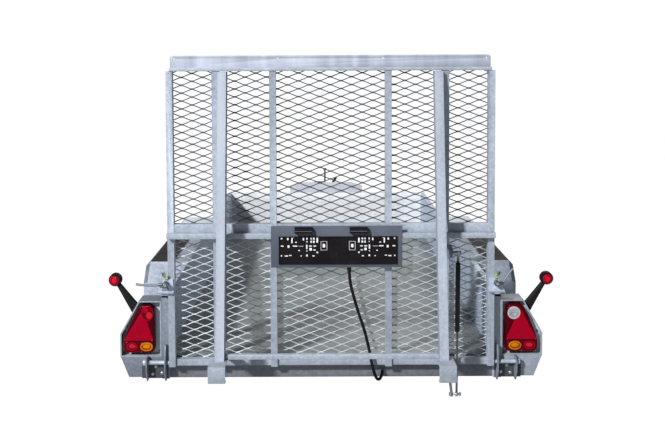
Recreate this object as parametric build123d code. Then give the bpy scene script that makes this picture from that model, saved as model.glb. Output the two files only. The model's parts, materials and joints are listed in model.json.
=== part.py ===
from build123d import *

import math
import os

# Twin-axle equipment trailer with a full-width mesh loading ramp, in millimetres.
# +X is the trailer's right side, +Y is forwards to the coupling and +Z is up.
# The origin is on the ground, at the middle of the trailer's length and width.

# ---------------------------------------------------------------- driving dimensions
hinge_height = 370.0          # ramp hinge axis above the ground
bed_width = 1500.0            # between the side walls
bed_length = 3006.0           # rear cross-member to front wall
drawbar_length = 1400.0       # front wall to the coupling's nose
axle_ahead = 1300.0           # middle of the axle pair, ahead of the ramp
tyre_diameter = 590.0
tyre_width = 180.0
tyre_gap = 100.0              # between the front and the rear tyre
rim_diameter = 330.0
rim_width = 122.0
ramp_side_gap = 5.0           # ramp to each side wall
ramp_height = 1412.0          # hinge axis to the tip of the ramp, standing up

# frame and bed
frame_depth = 102.0           # height of the rails and of the end cross-members
rail_width = 50.0
end_member_width = 60.0
cross_member_width = 50.0
cross_member_depth = 80.0
cross_member_count = 5
floor_thickness = 5.0
sheet = 3.0                   # pressed steel sheet
wall_lip_width = 28.0
wall_lip_height = 20.0
front_rail_height = 65.0
front_rail_depth = 40.0
front_wall_thickness = 4.0
post_width = 36.0
post_depth = 50.0
post_height = 306.0           # above the hinge axis

# ramp sections
ramp_tube = 40.0              # depth of the uprights, from the load plane backwards
upright_width = 30.0
inner_upright_x = 262.0       # middle of the inner uprights
beam_width = 40.0
beam_depth = 60.0
beam_x = 487.0                # middle of the sloping beams
lower_rail_depth = 30.0
lower_rail_low = -11.0        # from the hinge axis
lower_rail_top = 19.0
upright_foot = -15.0          # lower end of the uprights, from the hinge axis
band_low = 603.0              # mid-height band, from the hinge axis
band_top = 645.0
mid_rail_low = 583.0
mid_rail_height = 24.0
mid_rail_depth = 30.0
tip_rail_height = 15.0
tip_plate_height = 56.0
tip_plate_thickness = 5.0
tip_plate_inset = 16.0        # plate's end inwards of the ramp's side
tip_hole_radius = 3.5
tip_hole_inner = 240.0        # middle to the inner holes
tip_hole_inset = 19.0         # outer holes inwards of the plate's end
tip_hole_drop = 14.0          # hole below the plate's top edge
mesh_thickness = 3.0
hinge_set_back = 20.0         # hinge axis behind the load plane

# sloping beams and their feet
beam_top_gap = 3.0            # beam to the rail under the tip plate
beam_foot = 88.0              # from the hinge axis
beam_reach_top = 65.0         # rear face of the beam behind the load plane
beam_reach_foot = 270.0
foot_reach = 343.0
foot_width = 75.0
foot_low = 17.0               # lower lip, from the hinge axis
foot_lip = 28.0
plate = 5.0                   # folded plate of the feet
brace_height = 22.0
brace_depth = 20.0
brace_in = 24.0               # brace ahead of the beams' rear faces
prop_width = 30.0

# hinge
pivot_radius = 10.0
pivot_play = 0.05
hinge_plate_thickness = 6.0
hinge_plate_out = (14.0, 99.0)   # ears outwards of the side wall
hinge_plate_reach = 45.0
pivot_head_radius = 14.0
pivot_head_length = 14.0
rear_clearance = 22.0         # ramp's load plane to the rear cross-member
post_clearance = 6.0          # ramp's load plane to the posts

# gas strut, on the right
strut_out = 37.0              # outwards of the upright that carries it
strut_radius = 11.0
strut_rod_radius = 5.0
strut_top = 520.0             # upper pin above the hinge axis
strut_top_reach = 75.0        # upper pin behind the load plane
strut_low = -146.0            # lower pin from the hinge axis
strut_low_reach = 40.0
strut_cylinder_start = 46.0   # upper pin to the cylinder
strut_cylinder_length = 324.0
strut_pin_radius = 5.0
strut_eye_radius = 10.0
strut_eye_width = 10.0
strut_arm_in = 22.0           # arm inwards of the strut
strut_play = 1.0

# rear lamps, across the trailer from the side wall
lamp_box_depth = 104.0
lamp_box_low = 19.0           # shelf above the hinge axis
lamp_box_top = 280.0
lamp_box_slant_out = 139.0
lamp_box_slant_z = 126.0
apron_low = -77.0
apron_out = 188.0
lamp_wall_inset = 40.0
lamp_depth = 46.0
marker_out = 253.0
marker_z = 372.0
marker_radius = 30.0
marker_depth = 44.0
marker_arm_depth = 24.0

# mudguards
guard_end_gap = 109.0         # tyre to the guard's end
lip_above_tyre = 76.0         # tyre's top to the underside of the side wall's lip
guard_side_gap = 15.0
guard_bevel = 91.0
guard_low = 430.0             # lower edge above the ground
guard_fold = 25.0
guard_play = 0.5              # guard to the lip that it laps over

# running gear
tyre_out = 32.0               # tyre outwards of the side wall
beam_axle_size = 60.0
axle_lead = 150.0             # axle tube ahead of its wheels' axis
arm_out = 7.0                 # swing arm outwards of the side wall
arm_thickness = 22.0
arm_spacer = 8.0              # arm to brake back plate
drum_gap = 2.0
stub_radius = 20.0
stub_play = 0.05
drum_radius = 115.0
drum_width = 56.0
back_plate_thickness = 4.0
hub_radius = 34.0
rim_lip = 14.0
seat_play = 0.3

# drawbar and coupling
drawbar_rail_width = 50.0
drawbar_rail_height = 80.0
drawbar_spread = 430.0        # middle of a rail at the front wall
drawbar_nose = 52.0           # middle of a rail at its front end
drawbar_rail_end = 345.0      # rails' front end behind the coupling's nose
unit_height = 70.0            # coupling axis above the rails
socket_radius = 25.25
socket_skirt = 20.0
head_radius = 38.0
socket_back = 52.0            # socket axis behind the nose
unit_tube_radius = 38.0
draw_tube_radius = 25.0
bellows_radius = 36.0
unit_length = 270.0           # base plate of the overrun unit
lever_station = 116.0         # lever pin ahead of the base plate's rear end
lever_out = 41.0              # lever outwards of the unit's tube
lever_pin_radius = 7.0
lever_radius = 8.0
lever_grip_radius = 12.0
lever_knee = 185.0            # where the grip starts, above the pin
lever_height = 238.0
lever_lean = 17.0             # knee inwards of the pin, and the grip's end outwards of it
lever_rake = 30.0             # grip's end behind the pin

# jockey wheel
jockey_x = -98.0
jockey_back = 296.0           # jockey tube's axis behind the nose
jockey_wheel_radius = 100.0
jockey_wheel_width = 55.0
jockey_trail = 30.0
jockey_outer_radius = 30.0
jockey_inner_radius = 24.0
jockey_slide_play = 0.1
jockey_outer_low = 340.0
jockey_outer_top = 612.0
jockey_inner_top = 520.0
jockey_clamp_low = 430.0
jockey_clamp_height = 36.0
jockey_clamp_wall = 9.0
jockey_plate_low = 206.0
jockey_plate_thickness = 14.0
crank_reach = 95.0
crank_spindle = 22.0          # spindle's length above the tube
crank_radius = 6.0
crank_height = 128.0          # upright rod's top above the tube
crank_grip_length = 40.0      # cross grip on that rod
crank_grip_radius = 8.0

# number plate carrier
panel_x = 25.0                # middle of the panel
panel_width = 594.0
panel_low = 452.0             # from the hinge axis
panel_height = 190.0
panel_thickness = 3.0
holder_x = 31.0
holder_width = 535.0
holder_height = 126.0
holder_low = 468.0
holder_thickness = 6.0
plate_lamp_width = 79.0
plate_lamp_height = 28.0
plate_lamp_depth = 26.0
plate_lamp_gap = 16.0
plate_lamp_x = (-125.0, 123.0)

# front of the bed
rest_width = 572.0
rest_top = 768.0
rest_depth = 60.0
rest_slope_width = 85.0       # sloping corners of the top edge
rest_slope_height = 27.0
rest_rib_top = 640.0

cable_radius = 7.0
cable_collar = 8.0            # length of the collar that the cable ends at
cable_box_wall = 4.0          # wall of the box that the cable leaves the panel by
cable_box_height = 30.0

# ---------------------------------------------------------------- levels and stations
nose_ahead = rear_clearance + bed_length + drawbar_length
ramp_y = (foot_reach - nose_ahead) / 2
nose_y = ramp_y + nose_ahead
hinge_y = ramp_y - hinge_set_back
floor_top = hinge_height + hinge_set_back + 2
floor_low = floor_top - floor_thickness
frame_low = floor_low - frame_depth
bed_half = bed_width / 2
bed_rear = ramp_y + rear_clearance
bed_front = bed_rear + bed_length
lip_low = tyre_diameter + lip_above_tyre
wall_top = lip_low + wall_lip_height
guard_top = wall_top + sheet
post_top = hinge_height + post_height
axle_y = ramp_y + axle_ahead
axle_spacing = tyre_diameter + tyre_gap
wheel_radius = tyre_diameter / 2
wheel_x = bed_half + tyre_out + tyre_width / 2
half_width = wheel_x + tyre_width / 2 + guard_side_gap
arm_inner_x = bed_half + arm_out
hinge_plate_x = [bed_half + out for out in hinge_plate_out]
lamp_box_slant_x = bed_half + lamp_box_slant_out
marker_x = bed_half + marker_out
ramp_half = bed_half - ramp_side_gap
ramp_top = hinge_height + ramp_height
tip_low = ramp_height - tip_plate_height
beam_top = tip_low - tip_rail_height - beam_top_gap
tip_plate_half = ramp_half - tip_plate_inset
tip_hole_x = (tip_hole_inner, tip_plate_half - tip_hole_inset)
beam_outer = beam_x + beam_width / 2
second_upright_outer = beam_outer + upright_width
strut_x = second_upright_outer + strut_out
strut_arm_x = strut_x - strut_arm_in
mid_rear = ramp_y - ramp_tube - mid_rail_depth
panel_rear = mid_rear - panel_thickness
rails_end_y = nose_y - drawbar_rail_end
drawbar_top = floor_low
drawbar_low = drawbar_top - drawbar_rail_height
unit_z = drawbar_top + unit_height
drum_inner_x = arm_inner_x + arm_thickness + arm_spacer + back_plate_thickness + drum_gap
unit_rear = rails_end_y - unit_length
lever_x = unit_tube_radius + lever_out
lever_y = unit_rear + lever_station
jockey_y = nose_y - jockey_back
member_pitch = (bed_length - end_member_width) / (cross_member_count + 1)


# ---------------------------------------------------------------- shape helpers
def block(x0, x1, y0, y1, z0, z1):
    """Box between two corners."""
    centre = ((x0 + x1) / 2, (y0 + y1) / 2, (z0 + z1) / 2)
    return Pos(*centre) * Box(abs(x1 - x0), abs(y1 - y0), abs(z1 - z0))


def prism_x(points_yz, x0, x1):
    """Outline in Y and Z, extruded along X."""
    plane = Plane(origin=(x0, 0, 0), x_dir=(0, 1, 0), z_dir=(1, 0, 0))
    return extrude(plane * make_face(Polyline(*points_yz, close=True)), amount=x1 - x0)


def prism_y(points_xz, y0, y1):
    """Outline in X and Z, extruded along Y."""
    plane = Plane(origin=(0, y0, 0), x_dir=(1, 0, 0), z_dir=(0, -1, 0))
    return extrude(plane * make_face(Polyline(*points_xz, close=True)), amount=y0 - y1)


def prism_z(points_xy, z0, z1):
    """Outline in X and Y, extruded upwards."""
    plane = Plane(origin=(0, 0, z0))
    return extrude(plane * make_face(Polyline(*points_xy, close=True)), amount=z1 - z0)


def rod_x(x0, x1, y, z, radius):
    """Round bar along X."""
    return Pos((x0 + x1) / 2, y, z) * Rot(0, 90, 0) * Cylinder(radius, abs(x1 - x0))


def rod_y(y0, y1, x, z, radius):
    """Round bar along Y."""
    return Pos(x, (y0 + y1) / 2, z) * Rot(90, 0, 0) * Cylinder(radius, abs(y1 - y0))


def rod_z(z0, z1, x, y, radius):
    """Upright round bar."""
    return Pos(x, y, (z0 + z1) / 2) * Cylinder(radius, abs(z1 - z0))


def rod_between(start, end, radius):
    """Round bar from one point to another."""
    way = Vector(*end) - Vector(*start)
    plane = Plane(origin=start, z_dir=way)
    return extrude(plane * Circle(radius), amount=way.length)


def mirrored(shape):
    """The same piece on the trailer's other side."""
    return mirror(shape, Plane.YZ)


def both_sides(shape):
    """A piece and its mirror image, as two solids."""
    return shape + mirrored(shape)


# ---------------------------------------------------------------- frame and bed
def make_side_rails():
    return both_sides(
        block(bed_half - rail_width, bed_half, bed_rear + end_member_width,
              bed_front - end_member_width, frame_low, floor_low)
    )


def make_rear_cross_member():
    """Rear box member with the collar where the lamp cable goes in."""
    member = block(-bed_half, bed_half, bed_rear, bed_rear + end_member_width,
                   frame_low, floor_low)
    end = cable_route[-1]
    return member + rod_y(bed_rear - cable_collar, bed_rear, end[0], end[2], 2 * cable_radius)


def make_cross_members():
    """Front box member and the lighter members under the floor."""
    front = block(-bed_half, bed_half, bed_front - end_member_width, bed_front,
                  frame_low, floor_low)
    members = front
    half = bed_half - rail_width
    for index in range(cross_member_count):
        middle = bed_rear + end_member_width / 2 + member_pitch * (index + 1)
        members += block(-half, half, middle - cross_member_width / 2,
                         middle + cross_member_width / 2,
                         floor_low - cross_member_depth, floor_low)
    return members


def make_floor():
    return block(-bed_half, bed_half, bed_rear, bed_front, floor_low, floor_top)


def make_side_wall():
    """Right wall: rear post, sheet and folded top lip."""
    post = block(bed_half, bed_half + post_width, ramp_y + post_clearance,
                 ramp_y + post_clearance + post_depth, frame_low, post_top)
    start = ramp_y + post_clearance + post_depth
    panel = block(bed_half, bed_half + sheet, start, bed_front, frame_low, wall_top)
    lip = block(bed_half, bed_half + wall_lip_width, start, bed_front, lip_low, wall_top)
    return post + panel + lip


def make_front_wall():
    """Sheet across the bed's front, with its deep top rail."""
    panel = block(-bed_half, bed_half, bed_front, bed_front + front_wall_thickness,
                  frame_low, wall_top)
    rail = block(-bed_half - wall_lip_width, bed_half + wall_lip_width, bed_front,
                 bed_front + front_rail_depth, wall_top - front_rail_height, wall_top)
    return panel + rail


def make_bucket_rest():
    """Raised plate just ahead of the front wall, standing on the drawbar."""
    half = rest_width / 2
    rear = bed_front + front_rail_depth
    outline = [
        (-half, drawbar_top), (half, drawbar_top), (half, rest_top - rest_slope_height),
        (half - rest_slope_width, rest_top), (-half + rest_slope_width, rest_top),
        (-half, rest_top - rest_slope_height),
    ]
    face = prism_y(outline, rear, rear + plate)
    rib = [
        (rear + plate, drawbar_top), (rear + rest_depth + plate, drawbar_top),
        (rear + plate, rest_rib_top),
    ]
    for x in (-half / 2, half / 2):
        face += prism_x(rib, x - plate / 2, x + plate / 2)
    return face


# ---------------------------------------------------------------- mudguards
def guard_shell(rear, front, top, outer, inset):
    """Solid filling a mudguard: bevelled ends and a bevelled outer fold."""
    bevel = guard_bevel - inset * 0.4
    low = guard_low - (1 if inset else 0)
    outline = [
        (rear, low), (rear, top - bevel), (rear + bevel, top),
        (front - bevel, top), (front, top - bevel), (front, low),
    ]
    inner = bed_half + sheet - (1 if inset else 0)
    solid = prism_x(outline, inner, outer)
    outer_face = solid.faces().sort_by(Axis.X)[-1]
    edges = [edge for edge in outer_face.edges() if edge.center().Z > low + 1]
    return chamfer(edges, guard_fold)


def make_mudguard():
    """Right mudguard: sheet shell over the wall's lip, open below and towards the bed."""
    reach = (axle_spacing + tyre_diameter) / 2 + guard_end_gap
    rear, front = axle_y - reach, axle_y + reach
    skin = guard_shell(rear, front, guard_top, half_width, 0)
    inside = guard_shell(rear + sheet, front - sheet, guard_top - sheet, half_width - sheet, sheet)
    lip = block(bed_half, bed_half + wall_lip_width + guard_play, rear - sheet, front + sheet,
                lip_low - guard_play, wall_top)
    return skin - inside - lip


# ---------------------------------------------------------------- rear lamps
def make_lamp_box():
    """Right lamp box: five-sided shell open to the rear, over a tapered apron."""
    inner_x = bed_half + post_width
    rear = ramp_y + post_clearance
    low = hinge_height + lamp_box_low
    top = hinge_height + lamp_box_top
    outline = [
        (inner_x, low), (half_width, low),
        (half_width, hinge_height + lamp_box_slant_z), (lamp_box_slant_x, top), (inner_x, top),
    ]
    solid = prism_y(outline, rear, rear + lamp_box_depth)
    hollow = prism_y(inset_outline(outline, sheet), rear - 1, rear + lamp_box_depth + 1)
    wall_y = rear + lamp_wall_inset
    wall = prism_y(outline, wall_y, wall_y + sheet)
    apron = [
        (inner_x, low + sheet), (half_width, low + sheet),
        (bed_half + apron_out, hinge_height + apron_low), (inner_x, hinge_height + apron_low),
    ]
    return solid - hollow + wall + prism_y(apron, rear, rear + sheet)


def inset_outline(points, distance):
    """The outline moved inwards by a wall's thickness."""
    face = offset(make_face(Polyline(*points, close=True)), -distance, kind=Kind.INTERSECTION)
    wire = face.faces()[0].outer_wire()
    return [(vertex.X, vertex.Y) for vertex in wire_vertices(wire)]


def wire_vertices(wire):
    """Corners of a wire, in order round it."""
    return [edge.position_at(0) for edge in wire.order_edges()]


# Outline of the right lamp, as distance from the side wall and height above the hinge axis: a
# wide base, sides that lean in, and a round head towards the bed.
LAMP_OUTLINE = [
    (63, 50), (76, 37), (186, 37), (201, 52), (202, 104),
    (136, 242), (118, 260), (86, 262), (63, 244), (56, 216), (62, 106),
]


def make_rear_lamp():
    """Right lamp cluster, on the wall of its box."""
    wall_y = ramp_y + post_clearance + lamp_wall_inset
    outline = [(bed_half + out, hinge_height + z) for out, z in LAMP_OUTLINE]
    return prism_y(outline, wall_y - lamp_depth, wall_y)


def make_marker_lamp():
    """Right stalk lamp: foot on the box's slanted side, tapered arm and round head."""
    start = Vector(lamp_box_slant_x, hinge_height + lamp_box_top)
    end = Vector(half_width, hinge_height + lamp_box_slant_z)
    along = (end - start).normalized()
    out = Vector(-along.Y, along.X)
    length = (end - start).length
    head = Vector(marker_x, hinge_height + marker_z)
    foot_low, foot_high = start + along * (length * 0.56), start + along * (length * 0.04)
    pad = [foot_high, foot_low, foot_low + out * 7, foot_high + out * 7]
    arm_low, arm_high = start + along * (length * 0.46), start + along * (length * 0.14)
    way = (head - (arm_low + arm_high) * 0.5).normalized()
    across = Vector(-way.Y, way.X) * 13
    arm = [arm_high, arm_low, head - across, head + across]
    middle = ramp_y + post_clearance + lamp_wall_inset
    rear = middle - marker_arm_depth / 2
    stalk = prism_y([(p.X, p.Y) for p in pad], rear, rear + marker_arm_depth)
    stalk += prism_y([(p.X, p.Y) for p in arm], rear, rear + marker_arm_depth)
    stalk += rod_y(middle - marker_depth / 2, middle + marker_depth / 2, head.X, head.Y, marker_radius)
    box = block(0, lamp_box_slant_x, rear - 50, rear + 100, 0, ramp_top)
    solid_side = prism_y(
        [(0, 0), (half_width, 0), (half_width, end.Y), (start.X, start.Y), (0, start.Y)],
        rear - 50, rear + 100,
    )
    return stalk - solid_side - box


# ---------------------------------------------------------------- hinge
def make_hinge_bracket():
    """Right bracket: back plate bolted over the post's foot, with two ears for the pivot."""
    rear = ramp_y + post_clearance
    plate_y = rear - hinge_plate_thickness
    low = hinge_height - 86
    thick = hinge_plate_thickness
    bracket = block(bed_half + 5, hinge_plate_x[1] + 28, plate_y, rear,
                    hinge_height - 80, hinge_height - 6)
    # each ear: its x, and its top above the hinge axis
    for x, top in zip(hinge_plate_x, (80, 25)):
        ear = [
            (plate_y + 1, low), (plate_y + 1, hinge_height + top),
            (hinge_y - 6, hinge_height + top), (ramp_y - hinge_plate_reach, hinge_height + 16),
            (ramp_y - hinge_plate_reach, hinge_height - 40), (hinge_y, low),
        ]
        bracket += prism_x(ear, x - thick / 2, x + thick / 2)
    for x in hinge_plate_x:
        bracket -= rod_x(x - thick, x + thick, hinge_y, hinge_height, pivot_radius + pivot_play)
    return bracket


# ---------------------------------------------------------------- ramp
def ramp_bar(x0, x1, depth, z0, z1):
    """Bar of the ramp frame: behind the mesh, with heights from the hinge axis."""
    rear = ramp_y - mesh_thickness
    return block(x0, x1, ramp_y - depth, rear, hinge_height + z0, hinge_height + z1)


def make_ramp_frame():
    """Uprights, rails and tip plate of the ramp, with the hinge pivots on its sides."""
    rail_low = tip_low - tip_rail_height
    frame = ramp_bar(-ramp_half, ramp_half, lower_rail_depth, lower_rail_low, lower_rail_top)
    frame += ramp_bar(-ramp_half, ramp_half, ramp_tube - 2, band_low, band_top)
    second = beam_outer + upright_width / 2
    for x in (ramp_half - upright_width / 2, second, inner_upright_x):
        bar = ramp_bar(x - upright_width / 2, x + upright_width / 2, ramp_tube, upright_foot, rail_low)
        frame += bar
        frame += mirrored(bar)
    half = tip_plate_half
    frame += ramp_bar(-half, half, ramp_tube + 2, rail_low, tip_low)
    lip = block(-half, half, ramp_y - mesh_thickness - tip_plate_thickness, ramp_y - mesh_thickness,
                hinge_height + rail_low, ramp_top)
    corners = [edge for edge in lip.edges().filter_by(Axis.Y) if edge.center().Z > ramp_top - 1]
    lip = fillet(corners, tip_plate_height / 4)
    for x in tip_hole_x:
        for side in (-1, 1):
            lip -= rod_y(ramp_y - ramp_tube, ramp_y, side * x, ramp_top - tip_hole_drop, tip_hole_radius)
    frame += lip
    frame += block(-ramp_half, ramp_half, mid_rear, ramp_y - ramp_tube,
                   hinge_height + mid_rail_low, hinge_height + mid_rail_low + mid_rail_height)
    reach = hinge_plate_x[1] + hinge_plate_thickness / 2
    pivot = rod_x(ramp_half - upright_width, reach + pivot_play + 1, hinge_y, hinge_height, pivot_radius)
    pivot += rod_x(reach + 1, reach + 1 + pivot_head_length, hinge_y, hinge_height, pivot_head_radius)
    frame += pivot
    frame += mirrored(pivot)
    return frame


def make_ramp_mesh():
    """Load surface: an upper and a lower sheet on the front of the ramp frame."""
    half = ramp_half - 4
    sheets = block(-half, half, ramp_y - mesh_thickness, ramp_y,
                   hinge_height + lower_rail_low + 10, hinge_height + band_low - 1)
    sheets += block(-half, half, ramp_y - mesh_thickness, ramp_y,
                    hinge_height + band_low + 1, hinge_height + tip_low)
    return sheets


def beam_reach(z):
    """How far the rear face of a sloping beam lies behind the load plane, at a height."""
    share = (beam_top - z) / (beam_top - beam_foot)
    return beam_reach_top + share * (beam_reach_foot - beam_reach_top)


def make_ramp_beams():
    """Sloping beams that stiffen the ramp, with their props and the feet they end in."""
    x0, x1 = beam_x - beam_width / 2, beam_outer
    outline = [
        (ramp_y - beam_reach(beam_top), hinge_height + beam_top),
        (ramp_y - beam_reach(beam_top) + beam_depth - mesh_thickness, hinge_height + beam_top),
        (ramp_y - beam_reach(beam_foot) + beam_depth, hinge_height + beam_foot),
        (ramp_y - beam_reach(beam_foot), hinge_height + beam_foot),
    ]
    beam = prism_x(outline, x0, x1)
    prop_x0 = beam_x - prop_width / 2
    prop_x1 = prop_x0 + prop_width
    middle = mid_rail_low + mid_rail_height / 2
    beam += block(prop_x0, prop_x1, ramp_y - beam_reach(middle) + beam_depth / 2, mid_rear,
                  hinge_height + mid_rail_low, hinge_height + mid_rail_low + mid_rail_height)
    strut = [
        (ramp_y - ramp_tube, hinge_height + beam_foot - 50),
        (ramp_y - ramp_tube, hinge_height + beam_foot - 20),
        (ramp_y - beam_reach_foot + beam_depth, hinge_height + beam_foot + 24),
        (ramp_y - beam_reach_foot + beam_depth / 2, hinge_height + beam_foot + 12),
        (ramp_y - beam_reach_foot + beam_depth / 2, hinge_height + beam_foot - plate),
    ]
    beam += prism_x(strut, prop_x0, prop_x1)
    foot_x0, foot_x1 = beam_x + 6 - foot_width / 2, beam_x + 6 + foot_width / 2
    rear = ramp_y - foot_reach
    under = hinge_height + beam_foot
    low = hinge_height + foot_low
    foot = block(foot_x0, foot_x1, rear, ramp_y - beam_reach_foot + beam_depth, under - plate, under)
    foot += block(foot_x0, foot_x1, rear, rear + plate, low, under)
    foot += block(foot_x0, foot_x1, rear, rear + foot_lip, low, low + plate)
    side = [
        (rear, low), (rear + foot_lip, low), (ramp_y - beam_reach_foot + beam_depth / 2, under - plate),
        (rear, under - plate),
    ]
    foot += prism_x(side, beam_x - plate / 2, beam_x + plate / 2)
    strap = block(beam_x - prop_width / 2, second_upright_outer,
                  ramp_y - ramp_tube - plate, ramp_y - ramp_tube,
                  hinge_height + beam_foot - 56, hinge_height + beam_foot - 14)
    return both_sides(beam + foot + strap)


def make_ramp_brace():
    """Bar that ties the two beams together just above their feet."""
    rear = ramp_y - beam_reach_foot + brace_in
    half = beam_x - beam_width / 2
    return block(-half, half, rear, rear + brace_depth,
                 hinge_height + beam_foot, hinge_height + beam_foot + brace_height)


def make_ramp_latch(side):
    """Spring latch on the ramp's side: gusset, bolt tube and bent handle rod."""
    rear = ramp_y - ramp_tube - 4
    front = ramp_y - ramp_tube
    inner = ramp_half - 20
    outer = ramp_half + 44
    low, top = hinge_height + 310, hinge_height + 374
    gusset = [(inner, low), (outer, low), (outer - 18, top), (inner + 14, top)]
    latch = prism_y(gusset, rear, front)
    tube_z = hinge_height + 350
    tube_x = ramp_half + 8
    latch += rod_y(rear - 34, rear, tube_x, tube_z, 14)
    axis_y = rear - 18
    if side < 0:
        latch += rod_x(tube_x, ramp_half + 143, axis_y, tube_z + 8, 4.5)
    else:
        latch += rod_x(tube_x, ramp_half + 42, axis_y, tube_z + 8, 4.5)
        latch += rod_between((ramp_half + 42, axis_y, tube_z + 8),
                             (ramp_half + 80, axis_y, tube_z + 92), 4.5)
    return latch if side > 0 else mirrored(latch)


def make_plate_panel():
    """Grey sheet behind the number plate, with the cable's exit box on its back."""
    low = hinge_height + panel_low
    panel = block(panel_x - panel_width / 2, panel_x + panel_width / 2, panel_rear, mid_rear,
                  low, low + panel_height)
    start = cable_route[0]
    reach = cable_radius + cable_box_wall
    return panel + block(start[0] - reach, start[0] + reach, panel_rear, start[1] + reach,
                         start[2], start[2] + cable_box_height)


def make_plate_holder():
    """Black carrier for the number plate."""
    low = hinge_height + holder_low
    return block(holder_x - holder_width / 2, holder_x + holder_width / 2,
                 panel_rear - holder_thickness, panel_rear, low, low + holder_height)


def make_plate_lamps():
    """Two lamps above the plate, as two solids."""
    rear = panel_rear
    low = hinge_height + holder_low + holder_height + plate_lamp_gap
    lamps = None
    for x in plate_lamp_x:
        outline = [
            (rear, low), (rear, low + plate_lamp_height),
            (rear - plate_lamp_depth * 0.55, low + plate_lamp_height),
            (rear - plate_lamp_depth, low + plate_lamp_height * 0.4), (rear - plate_lamp_depth, low),
        ]
        lamp = prism_x(outline, x - plate_lamp_width / 2, x + plate_lamp_width / 2)
        lamps = lamp if lamps is None else lamps + lamp
    return lamps


# ---------------------------------------------------------------- gas strut
strut_upper = (ramp_y - strut_top_reach, hinge_height + strut_top)
strut_lower = (ramp_y - strut_low_reach, hinge_height + strut_low)
strut_length = math.dist(strut_upper, strut_lower)


def strut_point(distance):
    """Point on the strut's axis, at a distance from its upper pin."""
    share = distance / strut_length
    y = strut_upper[0] + share * (strut_lower[0] - strut_upper[0])
    z = strut_upper[1] + share * (strut_lower[1] - strut_upper[1])
    return (strut_x, y, z)


def make_strut_mount():
    """Plate and pin on the ramp's upright that carry the strut's upper end."""
    y, z = strut_upper
    ear = [
        (ramp_y - ramp_tube, z - 34), (ramp_y - ramp_tube, z + 26), (y - 8, z + 10), (y - 10, z - 12),
    ]
    ear_x = second_upright_outer + 6
    mount = prism_x(ear, ear_x, ear_x + 6)
    mount += block(ear_x - upright_width, ear_x + 6, ramp_y - ramp_tube - 4, ramp_y - ramp_tube,
                   z - 34, z + 26)
    pin_end = strut_x + strut_eye_width / 2 + 6
    mount += rod_x(ear_x, pin_end, y, z, strut_pin_radius)
    mount += rod_x(pin_end - 3, pin_end, y, z, strut_pin_radius + 3)
    return mount


def make_strut_cylinder():
    """Cylinder of the gas strut, with its upper eye."""
    eye = rod_x(strut_x - strut_eye_width / 2, strut_x + strut_eye_width / 2,
                strut_upper[0], strut_upper[1], strut_eye_radius)
    neck = rod_between(strut_point(strut_eye_radius * 0.7), strut_point(strut_cylinder_start + 2), 6)
    tube = rod_between(strut_point(strut_cylinder_start),
                       strut_point(strut_cylinder_start + strut_cylinder_length), strut_radius)
    bore = rod_between(strut_point(strut_cylinder_start + 24),
                       strut_point(strut_cylinder_start + strut_cylinder_length + 2),
                       strut_rod_radius + 0.05)
    pin_hole = rod_x(strut_x - strut_eye_width, strut_x + strut_eye_width,
                     strut_upper[0], strut_upper[1], strut_pin_radius + 0.05)
    return eye + neck + tube - bore - pin_hole


def make_strut_rod():
    """Rod of the gas strut, with its eye and the pin that points at the frame's arm."""
    start = strut_cylinder_start + strut_cylinder_length - 70
    end = strut_length - strut_eye_radius * 0.8
    rod = rod_between(strut_point(start), strut_point(end), strut_rod_radius)
    eye = rod_x(strut_x - strut_eye_width / 2, strut_x + strut_eye_width / 2,
                strut_lower[0], strut_lower[1], strut_eye_radius)
    pin_start = strut_arm_x + 4 + strut_play
    pin = rod_x(pin_start, strut_x + strut_eye_width / 2 + 8, strut_lower[0], strut_lower[1],
                strut_pin_radius)
    return rod + eye + pin


def make_strut_arm():
    """Arm below the rear cross-member that the strut's lower pin belongs to."""
    y, z = strut_lower
    arm = [
        (bed_rear, frame_low), (bed_rear + 46, frame_low), (y + 8, z - 12), (y - 10, z - 8), (y - 8, z + 12),
    ]
    return prism_x(arm, strut_arm_x - 4, strut_arm_x + 4)


# ---------------------------------------------------------------- running gear
def wheel_stations():
    """Name and position of each wheel: side, end, x and y."""
    stations = []
    for end, shift in (("rear", -1), ("front", 1)):
        for side, sign in (("left", -1), ("right", 1)):
            stations.append((f"{end}_{side}", sign * wheel_x, axle_y + shift * axle_spacing / 2))
    return stations


def revolve_x(outline, x, y, z, sign):
    """Solid turned about a wheel's axis, from (outward distance, radius) corners."""
    face = make_face(Polyline(*outline, close=True))
    turned = revolve(face, Axis.X)
    if sign < 0:
        turned = mirrored(turned)
    return Pos(x, y, z) * turned


def make_tyre(x, y):
    """Tyre: bead, bulging sidewalls, shoulders and a flat tread."""
    half = tyre_width / 2
    bead = rim_width / 2 - seat_play
    bore = rim_diameter / 2 + seat_play
    radius = wheel_radius
    bulge = bore + (radius - bore) * 0.52
    outline = [
        (-bead, bore), (-bead, bore + rim_lip + 3), (-half * 0.88, bore + 30), (-half, bulge),
        (-half * 0.94, radius - 32), (-half * 0.78, radius - 6), (-half * 0.62, radius),
        (half * 0.62, radius), (half * 0.78, radius - 6), (half * 0.94, radius - 32), (half, bulge),
        (half * 0.88, bore + 30), (bead, bore + rim_lip + 3), (bead, bore),
    ]
    return revolve_x(outline, x, y, wheel_radius, 1)


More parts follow.
